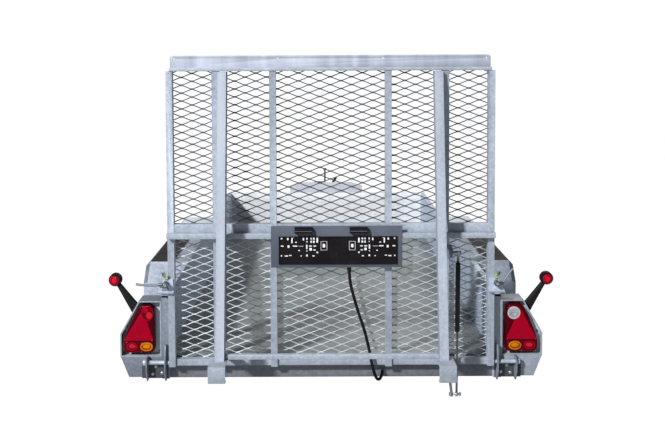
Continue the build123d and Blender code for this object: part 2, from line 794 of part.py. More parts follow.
def make_rim(x, y, sign):
    """Rim barrel, dished disc, hub and brake drum in one turned piece."""
    bead = rim_diameter / 2
    half = rim_width / 2
    drum_in = drum_inner_x - wheel_x
    drum_out = drum_in + drum_width
    bore = stub_radius + stub_play
    barrel = [
        (-half - 4, bead + rim_lip), (-half - 4, bead - 6), (-half + 8, bead - 8), (-half * 0.4, bead - 26),
        (drum_out + 10, bead - 30), (drum_out + 10, hub_radius + 30), (drum_out, hub_radius + 26),
        (drum_out, drum_radius), (drum_in, drum_radius), (drum_in, drum_radius - 8),
        (drum_out - 8, drum_radius - 8), (drum_out - 8, hub_radius), (drum_in, hub_radius),
        (drum_in, bore), (drum_out + 26, bore), (drum_out + 26, 0), (drum_out + 44, 0),
        (drum_out + 44, hub_radius - 6), (drum_out + 14, hub_radius), (drum_out + 14, bead - 34),
        (half * 0.55, bead - 26), (half - 8, bead - 8), (half + 4, bead - 6), (half + 4, bead + rim_lip),
        (half, bead + rim_lip), (half, bead), (-half, bead), (-half, bead + rim_lip),
    ]
    return revolve_x(barrel, x, y, wheel_radius, sign)


def make_axle_tubes():
    """Square axle tubes below the side rails, with their seats."""
    tubes = None
    for shift in (-1, 1):
        y = axle_y + shift * axle_spacing / 2 + axle_lead
        half = beam_axle_size / 2
        seat = frame_low - beam_axle_size
        tube = block(-arm_inner_x, arm_inner_x, y - half, y + half, seat, frame_low)
        tubes = tube if tubes is None else tubes + tube
    return tubes


def make_swing_arms():
    """Trailing arms with stub axles and brake back plates, as four solids."""
    arms = None
    pivot_z = frame_low - beam_axle_size / 2
    for _, x, y in wheel_stations():
        sign = 1 if x > 0 else -1
        axle_line = y + axle_lead
        r0, r1 = 40, 32
        arm = rod_x(arm_inner_x, arm_inner_x + arm_thickness, axle_line, pivot_z, r0)
        arm += rod_x(arm_inner_x, arm_inner_x + arm_thickness, y, wheel_radius, r1)
        arm += prism_x(
            [(axle_line, pivot_z - r0), (axle_line, pivot_z + r0),
             (y, wheel_radius + r1), (y, wheel_radius - r1)],
            arm_inner_x, arm_inner_x + arm_thickness,
        )
        inner = arm_inner_x + arm_thickness
        plate_x = inner + arm_spacer
        arm += rod_x(inner, plate_x, y, wheel_radius, 60)
        arm += rod_x(plate_x, plate_x + back_plate_thickness, y, wheel_radius, drum_radius + 3)
        arm += rod_x(inner, drum_inner_x + drum_width + 20, y, wheel_radius, stub_radius)
        if sign < 0:
            arm = mirrored(arm)
        arms = arm if arms is None else arms + arm
    return arms


def make_brake_linkage():
    """Brake rod under the frame, its hangers and the bar that shares the pull."""
    z = frame_low - 18
    x = 62.0
    rear = axle_y + axle_spacing / 2 + axle_lead + 260
    front = nose_y - 470
    rod = rod_y(rear, front, x, z, 6)
    rod += block(x - 110, x + 110, rear - 16, rear + 6, z - 10, z + 10)
    hangers = (bed_front - end_member_width / 2, bed_front - end_member_width / 2 - member_pitch)
    tops = (frame_low, floor_low - cross_member_depth)
    for y, top in zip(hangers, tops):
        rod += block(x - 4, x + 4, y - 15, y + 15, z - 12, top)
    rod += block(x - 5, x + 5, front - 8, front + 8, z - 14, drawbar_top)
    return rod


# ---------------------------------------------------------------- drawbar
def drawbar_x(y):
    """Middle line of the right drawbar rail at a station."""
    share = (y - bed_front - front_wall_thickness) / (rails_end_y - bed_front - front_wall_thickness)
    return drawbar_spread + share * (drawbar_nose - drawbar_spread)


def make_drawbar_rails():
    """Two box rails that run in from the front wall to the coupling."""
    start = bed_front + front_wall_thickness
    angle = math.atan2(drawbar_spread - drawbar_nose, rails_end_y - start)
    half = drawbar_rail_width / 2 / math.cos(angle)
    outline = [
        (drawbar_spread - half, start), (drawbar_spread + half, start),
        (drawbar_nose + half, rails_end_y), (drawbar_nose - half, rails_end_y),
    ]
    return both_sides(prism_z(outline, drawbar_low, drawbar_top))


def make_overrun_unit():
    """Housing of the overrun brake on its base plate, with the bellows in front."""
    front = rails_end_y + 10
    base_half = drawbar_nose + drawbar_rail_width / 2 + 2
    base = block(-base_half, base_half, unit_rear, rails_end_y, drawbar_top, drawbar_top + 8)
    unit = base + rod_y(unit_rear + 30, front, 0, unit_z, unit_tube_radius)
    for y in (unit_rear + 60, rails_end_y - 40):
        unit += block(-30, 30, y - 12, y + 12, drawbar_top + 8, unit_z)
    unit += rod_y(front, front + 86, 0, unit_z, bellows_radius)
    unit += block(unit_tube_radius - 8, lever_x - 14, lever_y - 20, lever_y + 20,
                  drawbar_top + 8, unit_z + 16)
    return unit - rod_x(lever_x - 35, lever_x, lever_y, unit_z, lever_pin_radius + pivot_play)


def make_coupling_head():
    """Coupling head: draw tube, body over the socket, and its hand grip."""
    rear = rails_end_y + 96
    socket_y = nose_y - socket_back
    low = unit_z - 34
    tube = rod_y(rear, socket_y - 20, 0, unit_z, draw_tube_radius)
    body = rod_z(low, unit_z + 34, 0, socket_y, head_radius)
    body += Pos(0, socket_y, unit_z + 34) * Sphere(head_radius * 0.6)
    shoulder = [
        (-32, rear + 40), (32, rear + 40), (head_radius, socket_y), (-head_radius, socket_y),
    ]
    body += prism_z(shoulder, unit_z - 20, unit_z + 30)
    body += block(-20, 20, socket_y, nose_y, low, unit_z - 4)
    body += block(-9, 9, socket_y - 110, socket_y, unit_z + 42, unit_z + 62)
    body += block(-16, 16, rear + 44, socket_y - 90, unit_z + 26, unit_z + 62)
    socket = rod_z(low - 1, low + socket_skirt, 0, socket_y, socket_radius)
    dome = Pos(0, socket_y, low + socket_skirt) * Sphere(socket_radius)
    return tube + body - socket - dome


def make_handbrake_lever():
    """Brake lever with its grip, turning on a pin at the unit's right side."""
    x, y, z = lever_x, lever_y, unit_z
    boss = rod_x(x - 12, x + 6, y, z, 20)
    pin = rod_x(x - 32, x + 12, y, z, lever_pin_radius)
    knee = (x - lever_lean, y - lever_rake * 0.8, z + lever_knee)
    end = (x + lever_lean, y - lever_rake, z + lever_height)
    arm = rod_between((x, y, z), knee, lever_radius) + Pos(*knee) * Sphere(lever_grip_radius)
    return boss + pin + arm + rod_between(knee, end, lever_grip_radius)


# ---------------------------------------------------------------- jockey wheel
def make_jockey_clamp():
    """Clamp that holds the jockey tube beside the overrun unit."""
    low, top = jockey_clamp_low, jockey_clamp_low + jockey_clamp_height
    ring = rod_z(low, top, jockey_x, jockey_y, jockey_outer_radius + jockey_clamp_wall)
    inner_x = -unit_tube_radius - 4
    arm = block(jockey_x, inner_x, jockey_y - 12, jockey_y + 12, low, top)
    foot = block(inner_x - 8, inner_x, jockey_y - 60, jockey_y + 12, drawbar_top + 8, top)
    hole = rod_z(low - 1, top + 1, jockey_x, jockey_y, jockey_outer_radius)
    return ring + arm + foot - hole


def make_jockey_outer_tube():
    """Outer tube with the cap that carries the crank."""
    tube = rod_z(jockey_outer_low, jockey_outer_top, jockey_x, jockey_y, jockey_outer_radius)
    bore = rod_z(jockey_outer_low - 1, jockey_outer_top - 6, jockey_x, jockey_y,
                 jockey_inner_radius + jockey_slide_play)
    return tube - bore


def make_jockey_crank():
    """Crank on the tube's top: spindle, arm, upright rod and cross grip."""
    top = jockey_outer_top
    radius = crank_radius
    rod_x0, rod_top = jockey_x + crank_reach, top + crank_height
    arm_z = top + crank_spindle - radius
    crank = rod_z(top, top + crank_spindle, jockey_x, jockey_y, radius + 3)
    crank += block(jockey_x, rod_x0 + radius, jockey_y - radius, jockey_y + radius,
                   arm_z - radius, arm_z + radius)
    crank += rod_z(arm_z, rod_top, rod_x0, jockey_y, radius)
    crank += rod_x(rod_x0 - crank_grip_length / 2, rod_x0 + crank_grip_length / 2, jockey_y,
                   rod_top, crank_grip_radius)
    return crank


def make_jockey_inner_tube():
    """Inner tube that slides in the outer one, closed at its lower end by the fork's bearing."""
    low = jockey_plate_low + jockey_plate_thickness + 1
    tube = rod_z(low, jockey_inner_top, jockey_x, jockey_y, jockey_inner_radius)
    bore = rod_z(low + 70, jockey_inner_top + 1, jockey_x, jockey_y, jockey_inner_radius - 4)
    seat = rod_z(low - 1, low + 60, jockey_x, jockey_y, 10.05)
    return tube - bore - seat


def make_jockey_fork():
    """Swivel fork with its stem and the wheel's axle."""
    top = jockey_plate_low + jockey_plate_thickness
    wheel_y = jockey_y - jockey_trail
    half = jockey_wheel_width / 2 + 6
    crown = block(jockey_x - half - 5, jockey_x + half + 5, wheel_y - 22, jockey_y + 28,
                  jockey_plate_low, top)
    fork = crown + rod_z(top, top + 58, jockey_x, jockey_y, 10)
    for side in (-1, 1):
        leg_x = jockey_x + side * (half + 2.5)
        leg = [
            (wheel_y - 22, jockey_plate_low), (jockey_y + 28, jockey_plate_low),
            (wheel_y + 18, jockey_wheel_radius - 14), (wheel_y - 18, jockey_wheel_radius - 14),
        ]
        fork += prism_x(leg, leg_x - 2.5, leg_x + 2.5)
    return fork + rod_x(jockey_x - half - 9, jockey_x + half + 9, wheel_y, jockey_wheel_radius, 8)


def make_jockey_wheel():
    """Solid-tyred wheel on the fork's axle."""
    half = jockey_wheel_width / 2
    bore = 8.05
    outline = [
        (-half, bore), (-half, 34), (-half * 0.5, 40), (-half * 0.5, 70), (-half, 78),
        (-half, jockey_wheel_radius - 12), (-half * 0.55, jockey_wheel_radius),
        (half * 0.55, jockey_wheel_radius), (half, jockey_wheel_radius - 12),
        (half, 78), (half * 0.5, 70), (half * 0.5, 40), (half, 34), (half, bore),
    ]
    return revolve_x(outline, jockey_x, jockey_y - jockey_trail, jockey_wheel_radius, 1)


# ---------------------------------------------------------------- lamp cable
# Route of the cable's middle line: x, then distance ahead of the load plane, then height
# above the hinge axis. It leaves the panel downwards, hangs in front of the mesh, dips under
# the ramp's lower rail and turns up into the collar on the rear cross-member.
CABLE_POINTS = [
    (82, -61, 452), (82, -61, 394), (101, -58, 318), (123, -54, 240), (149, -52, 164),
    (168, -54, 90), (179, -56, 30), (188, -56, -14), (198, -52, -50), (209, -42, -74),
    (222, -27, -80), (232, -12, -68), (236, 0, -57), (236, rear_clearance - cable_collar, -57),
]
cable_route = [(x, ramp_y + y, hinge_height + z) for x, y, z in CABLE_POINTS]


def cord_radii(points):
    """Arc radius at each corner: as large as its two runs allow."""
    radii = []
    for before, corner, after in zip(points, points[1:], points[2:]):
        first, second = Vector(*corner) - Vector(*before), Vector(*after) - Vector(*corner)
        turn = math.radians(first.get_angle(second))
        radii.append(0.45 * min(first.length, second.length) / math.tan(turn / 2))
    return radii


def make_cable():
    radii = cord_radii(cable_route)
    print("cable arc radii:", [round(radius) for radius in radii])
    path = FilletPolyline(*cable_route, radius=radii)
    start = Plane(origin=path.position_at(0), z_dir=path.tangent_at(0))
    tube = sweep(start * Circle(cable_radius), path=path)
    print("cable length:", round(path.length), "volume ratio:",
          round(tube.volume / (math.pi * cable_radius ** 2 * path.length), 4))
    return tube


# ---------------------------------------------------------------- build
def build_all():
    """Every node's name and shape."""
    lamp_box, guard = make_lamp_box(), make_mudguard()
    lamp, marker = make_rear_lamp(), make_marker_lamp()
    wall = make_side_wall()
    nodes = {
        "side_rails": make_side_rails(),
        "rear_cross_member": make_rear_cross_member(),
        "cross_members": make_cross_members(),
        "bed_floor": make_floor(),
        "side_wall_left": mirrored(wall),
        "side_wall_right": wall,
        "front_wall": make_front_wall(),
        "bucket_rest": make_bucket_rest(),
        "mudguard_left": mirrored(guard),
        "mudguard_right": guard,
        "lamp_box_left": mirrored(lamp_box),
        "lamp_box_right": lamp_box,
        "rear_lamp_left": mirrored(lamp),
        "rear_lamp_right": lamp,
        "marker_lamps": both_sides(marker),
        "hinge_brackets": both_sides(make_hinge_bracket()),
        "axle_tubes": make_axle_tubes(),
        "swing_arms": make_swing_arms(),
        "brake_linkage": make_brake_linkage(),
        "drawbar_rails": make_drawbar_rails(),
        "overrun_unit": make_overrun_unit(),
        "coupling_head": make_coupling_head(),
        "handbrake_lever": make_handbrake_lever(),
        "jockey_clamp": make_jockey_clamp(),
        "jockey_outer_tube": make_jockey_outer_tube(),
        "jockey_crank": make_jockey_crank(),
        "jockey_inner_tube": make_jockey_inner_tube(),
        "jockey_fork": make_jockey_fork(),
        "jockey_wheel": make_jockey_wheel(),
        "ramp_frame": make_ramp_frame(),
        "ramp_mesh": make_ramp_mesh(),
        "ramp_beams": make_ramp_beams(),
        "ramp_brace": make_ramp_brace(),
        "ramp_latches": make_ramp_latch(1) + make_ramp_latch(-1),
        "plate_panel": make_plate_panel(),
        "plate_holder": make_plate_holder(),
        "plate_lamps": make_plate_lamps(),
        "strut_mount": make_strut_mount(),
        "strut_arm": make_strut_arm(),
        "strut_cylinder": make_strut_cylinder(),
        "strut_rod": make_strut_rod(),
        "plate_lamp_cable": make_cable(),
    }
    for name, x, y in wheel_stations():
        nodes[f"tyre_{name}"] = make_tyre(x, y)
        nodes[f"wheel_{name}"] = make_rim(x, y, 1 if x > 0 else -1)
    return nodes


os.makedirs("parts", exist_ok=True)
for node, shape in build_all().items():
    export_step(shape, f"parts/{node}.step")
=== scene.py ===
import json
import math

import bmesh
import bpy
import numpy as np

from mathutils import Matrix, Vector

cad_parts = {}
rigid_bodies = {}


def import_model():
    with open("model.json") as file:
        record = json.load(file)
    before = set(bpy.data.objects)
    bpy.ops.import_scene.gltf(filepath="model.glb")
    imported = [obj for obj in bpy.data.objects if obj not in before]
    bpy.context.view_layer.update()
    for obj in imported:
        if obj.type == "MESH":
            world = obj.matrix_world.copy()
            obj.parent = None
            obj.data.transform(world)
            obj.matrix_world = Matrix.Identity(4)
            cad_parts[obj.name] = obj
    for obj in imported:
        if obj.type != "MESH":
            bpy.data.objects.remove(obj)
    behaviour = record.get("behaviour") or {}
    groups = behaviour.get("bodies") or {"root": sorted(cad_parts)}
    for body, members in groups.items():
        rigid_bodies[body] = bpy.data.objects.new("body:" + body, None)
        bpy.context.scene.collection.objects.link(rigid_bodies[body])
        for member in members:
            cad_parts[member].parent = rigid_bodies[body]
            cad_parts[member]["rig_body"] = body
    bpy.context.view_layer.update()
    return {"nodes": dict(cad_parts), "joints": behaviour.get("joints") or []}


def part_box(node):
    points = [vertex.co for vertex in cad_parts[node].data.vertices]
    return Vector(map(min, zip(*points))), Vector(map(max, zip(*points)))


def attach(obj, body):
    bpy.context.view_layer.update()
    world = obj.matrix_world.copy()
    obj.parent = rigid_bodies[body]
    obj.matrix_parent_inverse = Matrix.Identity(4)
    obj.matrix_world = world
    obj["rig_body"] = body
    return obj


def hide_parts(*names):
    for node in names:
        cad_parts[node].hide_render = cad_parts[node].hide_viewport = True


# Looks of the twin-axle equipment trailer. All lengths are metres in the frame's own axes:
# +X to the right, +Y forwards to the coupling, +Z up.

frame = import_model()

MM = 0.001
TURN = 2 * math.pi


def node_box(name):
    """Lowest and highest corner of a CAD node, as arrays."""
    low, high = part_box(name)
    return np.array(low), np.array(high)


def joint_place(name):
    """Where a joint turns."""
    return np.array(next(j["pos_m"] for j in frame["joints"] if j["name"] == name))


hinge_z = joint_place("ramp_hinge")[2]
load_y = node_box("ramp_mesh")[1][1]
bed_half = node_box("bed_floor")[1][0]

# ---------------- camera and lamp cable
camera_data = bpy.data.cameras.new("camera")
camera_data.lens = 49.2
camera_data.sensor_width = 36.0
camera_data.shift_x = 0.02
camera_data.shift_y = -0.18
camera = bpy.data.objects.new("camera", camera_data)
camera.location = (-0.050, load_y - 4.140, 1.783)
camera.rotation_euler = (math.radians(90 - 2.96), math.radians(0.25), 0.0)
bpy.context.scene.collection.objects.link(camera)
bpy.context.scene.camera = camera

# Route of the lamp cable: x, distance ahead of the load plane, height above the hinge axis.
CABLE_ROUTE = np.array([
    (82, -61, 452), (82, -61, 394), (101, -58, 318), (123, -54, 240), (149, -52, 164),
    (168, -54, 90), (179, -56, 30), (188, -56, -14), (198, -52, -50), (209, -42, -74),
    (222, -27, -80), (232, -12, -68), (236, 0, -57), (236, 14, -57),
]) * MM + (0, load_y, hinge_z)
CABLE_DIAMETER = 14 * MM

cable_curve = bpy.data.curves.new("lamp_cable", "CURVE")
cable_curve.dimensions = "3D"
spline = cable_curve.splines.new("NURBS")
spline.points.add(len(CABLE_ROUTE) - 1)
spline.points.foreach_set("co", np.c_[CABLE_ROUTE, np.ones(len(CABLE_ROUTE))].ravel())
spline.order_u = 3
spline.use_endpoint_u = True
spline.resolution_u = 10
cable_curve.bevel_depth = CABLE_DIAMETER / 2
cable_curve.bevel_resolution = 4
cable_curve.use_fill_caps = True
lamp_cable = bpy.data.objects.new("lamp_cable", cable_curve)
bpy.context.scene.collection.objects.link(lamp_cable)


# ---------------- shader arithmetic
class Wire:
    """A shader socket that adds Math nodes when it stands in an expression."""

    def __init__(self, finish, socket):
        self.finish, self.socket = finish, socket

    def math(self, operation, *values):
        return self.finish.node("Math", {"operation": operation}, dict(enumerate(values)))

    def __add__(self, other):
        return self.math("ADD", self, other)

    def __sub__(self, other):
        return self.math("SUBTRACT", self, other)

    def __rsub__(self, other):
        return self.math("SUBTRACT", other, self)

    def __mul__(self, other):
        return self.math("MULTIPLY", self, other)

    def wave(self):
        """Sine of the value."""
        return self.math("SINE", self)

    def size(self):
        """The value without its sign."""
        return self.math("ABSOLUTE", self)

    def between(self, low, high):
        """0 at low, 1 at high, straight between and held outside."""
        values = {"Value": self, "From Min": low, "From Max": high}
        return self.finish.node("MapRange", {"clamp": True}, values)

    __radd__, __rmul__ = __add__, __mul__


class Finish:
    """A material whose nodes are added one at a time around its Principled shader."""

    def __init__(self, name, **values):
        self.material = bpy.data.materials.new(name)
        self.material.use_nodes = True
        self.tree = self.material.node_tree
        self.shader = self.tree.nodes["Principled BSDF"]
        self.set(**values)
        self.place = self.node("TexCoord", output="Object")

    def node(self, kind, settings=(), values=(), output=0):
        """Adds a node, makes its settings, fills its sockets and gives one of its outputs."""
        made = self.tree.nodes.new("ShaderNode" + kind)
        for name, value in dict(settings).items():
            setattr(made, name, value)
        for name, value in dict(values).items():
            self.feed(made.inputs[name], value)
        return Wire(self, made.outputs[output])

    def feed(self, socket, value):
        """Links a wire to a socket, or sets the socket to a number, a vector or a colour."""
        if isinstance(value, Wire):
            self.tree.links.new(value.socket, socket)
        elif isinstance(value, tuple) and len(value) == 3 and len(socket.default_value) == 4:
            socket.default_value = (*value, 1)
        else:
            socket.default_value = value

    def set(self, **values):
        """Sets or links the shader's sockets; an underscore stands for a space."""
        for name, value in values.items():
            self.feed(self.shader.inputs[name.replace("_", " ")], value)

    def noise(self, scale, detail=3.0, place=None):
        """Cloudy value from 0 to 1, with so many features a metre."""
        return self.node("TexNoise", {}, {"Vector": place or self.place, "Scale": scale, "Detail": detail})

    def along(self, axis):
        """Distance along one axis of the piece's coordinates."""
        return self.node("SeparateXYZ", {}, {"Vector": self.place}, output=axis)

    def stretched(self, scale):
        """The piece's own coordinates, scaled along each axis."""
        return self.node("Mapping", {}, {"Vector": self.place, "Scale": scale})

    def blend(self, amount, first, second):
        """Colour between two colours."""
        return self.node("Mix", {"data_type": "RGBA"}, {0: amount, 6: first, 7: second}, output=2)

    def bump(self, height, strength, distance=1.0):
        """Turns a height into the shader's normal."""
        values = {"Strength": strength, "Distance": distance * MM, "Height": height}
        self.set(Normal=self.node("Bump", {}, values))


def galvanised(name, dark, light, spangle=95.0, grime=0.0, metal=0.25, rough=0.5):
    """Hot-dip zinc: crystals of differing shade, soft clouds, upright runs and a fine grain."""
    finish = Finish(name, Metallic=metal)
    crystals = finish.node("TexVoronoi", {}, {"Vector": finish.place, "Scale": spangle}, output="Color")
    crystal = finish.node("SeparateColor", {}, {"Color": crystals})
    clouds = finish.noise(5.0, 5.0)
    runs = finish.noise(18.0, 3.0, finish.stretched((1.0, 1.0, 0.12)))
    grain = finish.noise(420.0, 2.0)
    tone = crystal * 0.34 + clouds * 0.62 + runs * 0.34 + grain * 0.2 - 0.28
    colour = finish.blend(tone.between(0.12, 0.88), dark, light)
    if grime:
        dirt = finish.noise(3.1, 6.0).between(0.42, 0.72) * grime
        colour = finish.blend(dirt, colour, (0.16, 0.165, 0.14))
    finish.set(Base_Color=colour, Roughness=(crystal * 0.16 + clouds * 0.16 + (rough - 0.14)))
    finish.bump(crystal * 0.35 + grain * 0.5, 0.22, 0.35)
    return finish.material


def painted(name, colour, worn, gloss, metal=0.0, peel=260.0):
    """Paint or powder coat: slight orange peel, uneven gloss and a film of dust."""
    finish = Finish(name, Metallic=metal, Specular_IOR_Level=0.35)
    film = finish.noise(7.0, 6.0).between(0.38, 0.78)
    skin = finish.noise(peel, 2.0)
    finish.set(Base_Color=finish.blend(film * 0.35 + skin * 0.08, colour, worn),
               Roughness=film * 0.18 + skin * 0.06 + gloss)
    finish.bump(skin, 0.12, 0.25)
    return finish.material


def rubbery(name, colour, worn, rough, grain=600.0):
    """Moulded rubber: fine grain, dull bloom in soft patches."""
    finish = Finish(name, Specular_IOR_Level=0.1)
    bloom = finish.noise(14.0, 5.0).between(0.35, 0.8)
    texture = finish.noise(grain, 2.0)
    finish.set(Base_Color=finish.blend(bloom * 0.6 + texture * 0.12, colour, worn),
               Roughness=bloom * 0.12 + texture * 0.08 + rough)
    finish.bump(texture, 0.3, 0.3)
    return finish.material


def lens(name, deep, bright, pitch=5.5 * MM):
    """Moulded lamp lens: rows of small prisms, a sine wave across plus one upwards, under a
    clear, glossy skin."""
    finish = Finish(name, IOR=1.5, Specular_IOR_Level=0.07)
    ridges = ((finish.along("X") * (TURN / pitch)).wave() + (finish.along("Z") * (TURN / pitch)).wave()) * 0.5
    tone = ridges * 0.22 + finish.noise(30.0, 2.0) * 0.5 + 0.25
    finish.set(Base_Color=finish.blend(tone.between(0.1, 0.9), deep, bright), Roughness=ridges * 0.05 + 0.2)
    finish.bump(ridges, 0.5, 0.6)
    return finish.material


def polished(name, colour, rough, streak):
    """Bare or plated metal with fine lines round or along it."""
    finish = Finish(name, Metallic=0.95)
    lines = finish.noise(60.0, 3.0, finish.stretched(streak))
    stain = finish.noise(22.0, 4.0).between(0.4, 0.8)
    dull = tuple(0.62 * part for part in colour)
    finish.set(Base_Color=finish.blend(stain * 0.35 + lines * 0.3, colour, dull),
               Roughness=lines * 0.14 + stain * 0.1 + rough)
    finish.bump(lines, 0.08, 0.2)
    return finish.material


def streaked(name, dark, light):
    """Zinc of the tip plate: long upright runs left as it drained."""
    finish = Finish(name, Metallic=0.15)
    runs = finish.noise(26.0, 4.0, finish.stretched((1.0, 1.0, 0.05)))
    clouds = finish.noise(9.0, 4.0)
    finish.set(Base_Color=finish.blend((runs * 0.8 + clouds * 0.5 - 0.15).between(0.2, 0.8), dark, light),
               Roughness=runs * 0.2 + 0.42)
    finish.bump(runs, 0.2, 0.5)
    return finish.material


def guard_zinc(name, edge):
    """Mudguard top: dark brown on its rear half, pale beside the side wall and brighter further ahead."""
    finish = Finish(name, Specular_IOR_Level=0.1)
    stain = finish.noise(6.0, 6.0)
    grain = finish.noise(160.0, 2.0)
    beside_wall = 1 - (finish.along("X").size() + stain * 0.02).between(edge, edge + 0.012)
    patches = (stain + grain * 0.2).between(0.35, 0.85)
    brown = finish.blend(patches, (0.022, 0.019, 0.020), (0.055, 0.048, 0.048))
    pale = finish.blend(patches, (0.24, 0.27, 0.31), (0.40, 0.44, 0.50))
    bright = finish.blend(patches, (0.50, 0.55, 0.61), (0.72, 0.77, 0.84))
    ahead = (finish.along("Y") + stain * 0.2).between(-0.75, -0.5)
    finish.set(Base_Color=finish.blend(ahead, finish.blend(beside_wall, brown, pale), bright),
               Roughness=grain * 0.12 + stain * 0.2 + 0.6)
    finish.bump(grain, 0.2, 0.3)
    return finish.material


ZINC_RAMP = galvanised("galvanised_ramp", (0.255, 0.292, 0.350), (0.450, 0.502, 0.585))
ZINC_BEAM = galvanised("galvanised_beam", (0.215, 0.245, 0.295), (0.365, 0.405, 0.475), metal=0.1, rough=0.6)
ZINC_TIP = streaked("galvanised_tip", (0.230, 0.256, 0.312), (0.430, 0.468, 0.545))
ZINC_BED = galvanised("galvanised_bed", (0.32, 0.36, 0.42), (0.54, 0.60, 0.68), spangle=70.0, grime=0.1)
# a dark zinc for the chassis under the bed and the rear cross member
ZINC_DARK = galvanised("galvanised_dark", (0.10, 0.107, 0.13), (0.20, 0.215, 0.25), rough=0.5)
ZINC_WALL = galvanised("galvanised_wall", (0.33, 0.385, 0.48), (0.55, 0.635, 0.78), spangle=110.0)
ZINC_FRONT = galvanised("galvanised_front", (0.62, 0.64, 0.67), (0.85, 0.87, 0.89), spangle=60.0, metal=0.15)
ZINC_REST = galvanised("galvanised_rest", (0.35, 0.37, 0.41), (0.49, 0.515, 0.565), spangle=60.0)
ZINC_BOX = galvanised("galvanised_sheet", (0.125, 0.147, 0.185), (0.230, 0.265, 0.325), spangle=120.0)
ZINC_PLATE = galvanised("galvanised_plate", (0.030, 0.034, 0.042), (0.070, 0.078, 0.092), rough=0.5)
ZINC_RIM = galvanised("galvanised_rim", (0.20, 0.23, 0.27), (0.34, 0.38, 0.43), spangle=120.0, metal=0.15)
# a lighter zinc for the lamp boxes' linings: painted light in the shaded recess
ZINC_RECESS_PAINTED_LIGHT = galvanised("recess_zinc_painted_light", (0.30, 0.34, 0.37), (0.52, 0.57, 0.60), rough=0.6, metal=0.1)
ZINC_FLOOR = galvanised("galvanised_floor", (0.15, 0.17, 0.17), (0.30, 0.33, 0.33), spangle=60.0, grime=0.6,
                        rough=0.52)
ZINC_MESH = galvanised("galvanised_mesh", (0.36, 0.40, 0.44), (0.68, 0.73, 0.78), spangle=160.0, rough=0.38)
# a far darker copy of the mesh zinc for the upper sheet: painted shade
UPPER_MESH_PAINTED_SHADE = galvanised("galvanised_upper_mesh_painted_shade", (0.045, 0.048, 0.056), (0.13, 0.14, 0.16), spangle=160.0,
                        rough=0.45)
GUARD_TOP = guard_zinc("galvanised_guard", bed_half + 0.078)
BOLT_ZINC = polished("bright_zinc", (0.52, 0.54, 0.56), 0.26, (1, 1, 1))
ROD_CHROME = polished("polished_rod", (0.17, 0.17, 0.18), 0.30, (1, 1, 0.02))
STEEL_DARK = polished("dark_zinc", (0.16, 0.17, 0.20), 0.34, (1, 1, 1))
BLACK_PAINT = painted("black_paint", (0.006, 0.006, 0.008), (0.022, 0.022, 0.024), 0.3)
HEAD_PAINT = painted("cast_zinc", (0.26, 0.27, 0.29), (0.15, 0.16, 0.17), 0.38, metal=0.6, peel=180.0)
PANEL_PAINT = painted("panel_grey", (0.070, 0.083, 0.110), (0.112, 0.130, 0.168), 0.45, metal=0.1)
# a near-white sheet that stands in for the bright view through the plate holder: painted light
PAINTED_LIGHT_SHEET = painted("painted_light_sheet", (0.88, 0.89, 0.90), (0.74, 0.75, 0.76), 0.5)
RIM_PAINT = painted("silver_paint", (0.34, 0.35, 0.37), (0.20, 0.20, 0.20), 0.32, metal=0.55)
BLACK_PLASTIC = rubbery("black_plastic", (0.0055, 0.004, 0.005), (0.014, 0.011, 0.013), 0.45, grain=900.0)
RUBBER = rubbery("moulded_rubber", (0.006, 0.006, 0.007), (0.020, 0.020, 0.021), 0.52)
TYRE_RUBBER = rubbery("tyre_rubber", (0.006, 0.006, 0.0065), (0.026, 0.025, 0.023), 0.6, grain=380.0)
CABLE_SHEATH = rubbery("cable_sheath", (0.005, 0.005, 0.006), (0.015, 0.015, 0.015), 0.42, grain=1500.0)
RED_LENS = lens("red_lens", (0.205, 0.0, 0.009), (0.36, 0.0, 0.017), pitch=3.2 * MM)
DARK_RED_LENS = lens("dark_red_lens", (0.05, 0.0, 0.003), (0.15, 0.0, 0.007))
# a brighter red for small inner lenses: partly the lamps' own pattern and partly a painted highlight
RED_LENS_AND_HIGHLIGHT = lens("red_lens_and_painted_highlight", (0.26, 0.0, 0.010), (0.60, 0.020, 0.028), pitch=6.0 * MM)
DEEP_LENS = lens("deep_lens", (0.030, 0.0, 0.002), (0.085, 0.0, 0.005))
AMBER_LENS = lens("amber_lens", (0.24, 0.045, 0.0), (0.72, 0.25, 0.01), pitch=8.0 * MM)
DEEP_AMBER_LENS = lens("deep_amber_lens", (0.10, 0.012, 0.0), (0.24, 0.05, 0.0), pitch=8.0 * MM)
CLEAR_LENS = lens("clear_lens", (0.07, 0.09, 0.095), (0.42, 0.47, 0.46), pitch=9.0 * MM)
RIM_LENS = lens("rim_lens", (0.26, 0.25, 0.26), (0.50, 0.48, 0.50))
GREEN_TAG = painted("spring_tag", (0.27, 0.38, 0.17), (0.36, 0.46, 0.26), 0.4)


# ---------------- surfaces
def ring(radius, count):
    """Points at equal angles on a circle of that radius."""
    angle = np.arange(count) * TURN / count
    return np.c_[np.cos(angle), np.sin(angle)] * radius


def rounded(half, radius):
    """Square about the middle whose corners are quarter circles in four steps."""
    angle = np.linspace(0, TURN / 4, 5) + np.arange(4)[:, None] * TURN / 4
    corners = np.array([(1, 1), (-1, 1), (-1, -1), (1, -1)])[:, None] * (half - radius)
    return (corners + radius * np.stack([np.cos(angle), np.sin(angle)], -1)).reshape(-1, 2)


def even_profile(half):
    """A profile and its mirror image about its middle."""
    return [(-x, radius) for x, radius in half[::-1]] + half


def anticlockwise(outline):
    """An outline in the order that runs anticlockwise."""
    outline = np.asarray(outline, float)
    x, y = outline[:, 0], outline[:, 1]
    return outline[::-1] if np.sum(x * np.roll(y, -1) - y * np.roll(x, -1)) < 0 else outline


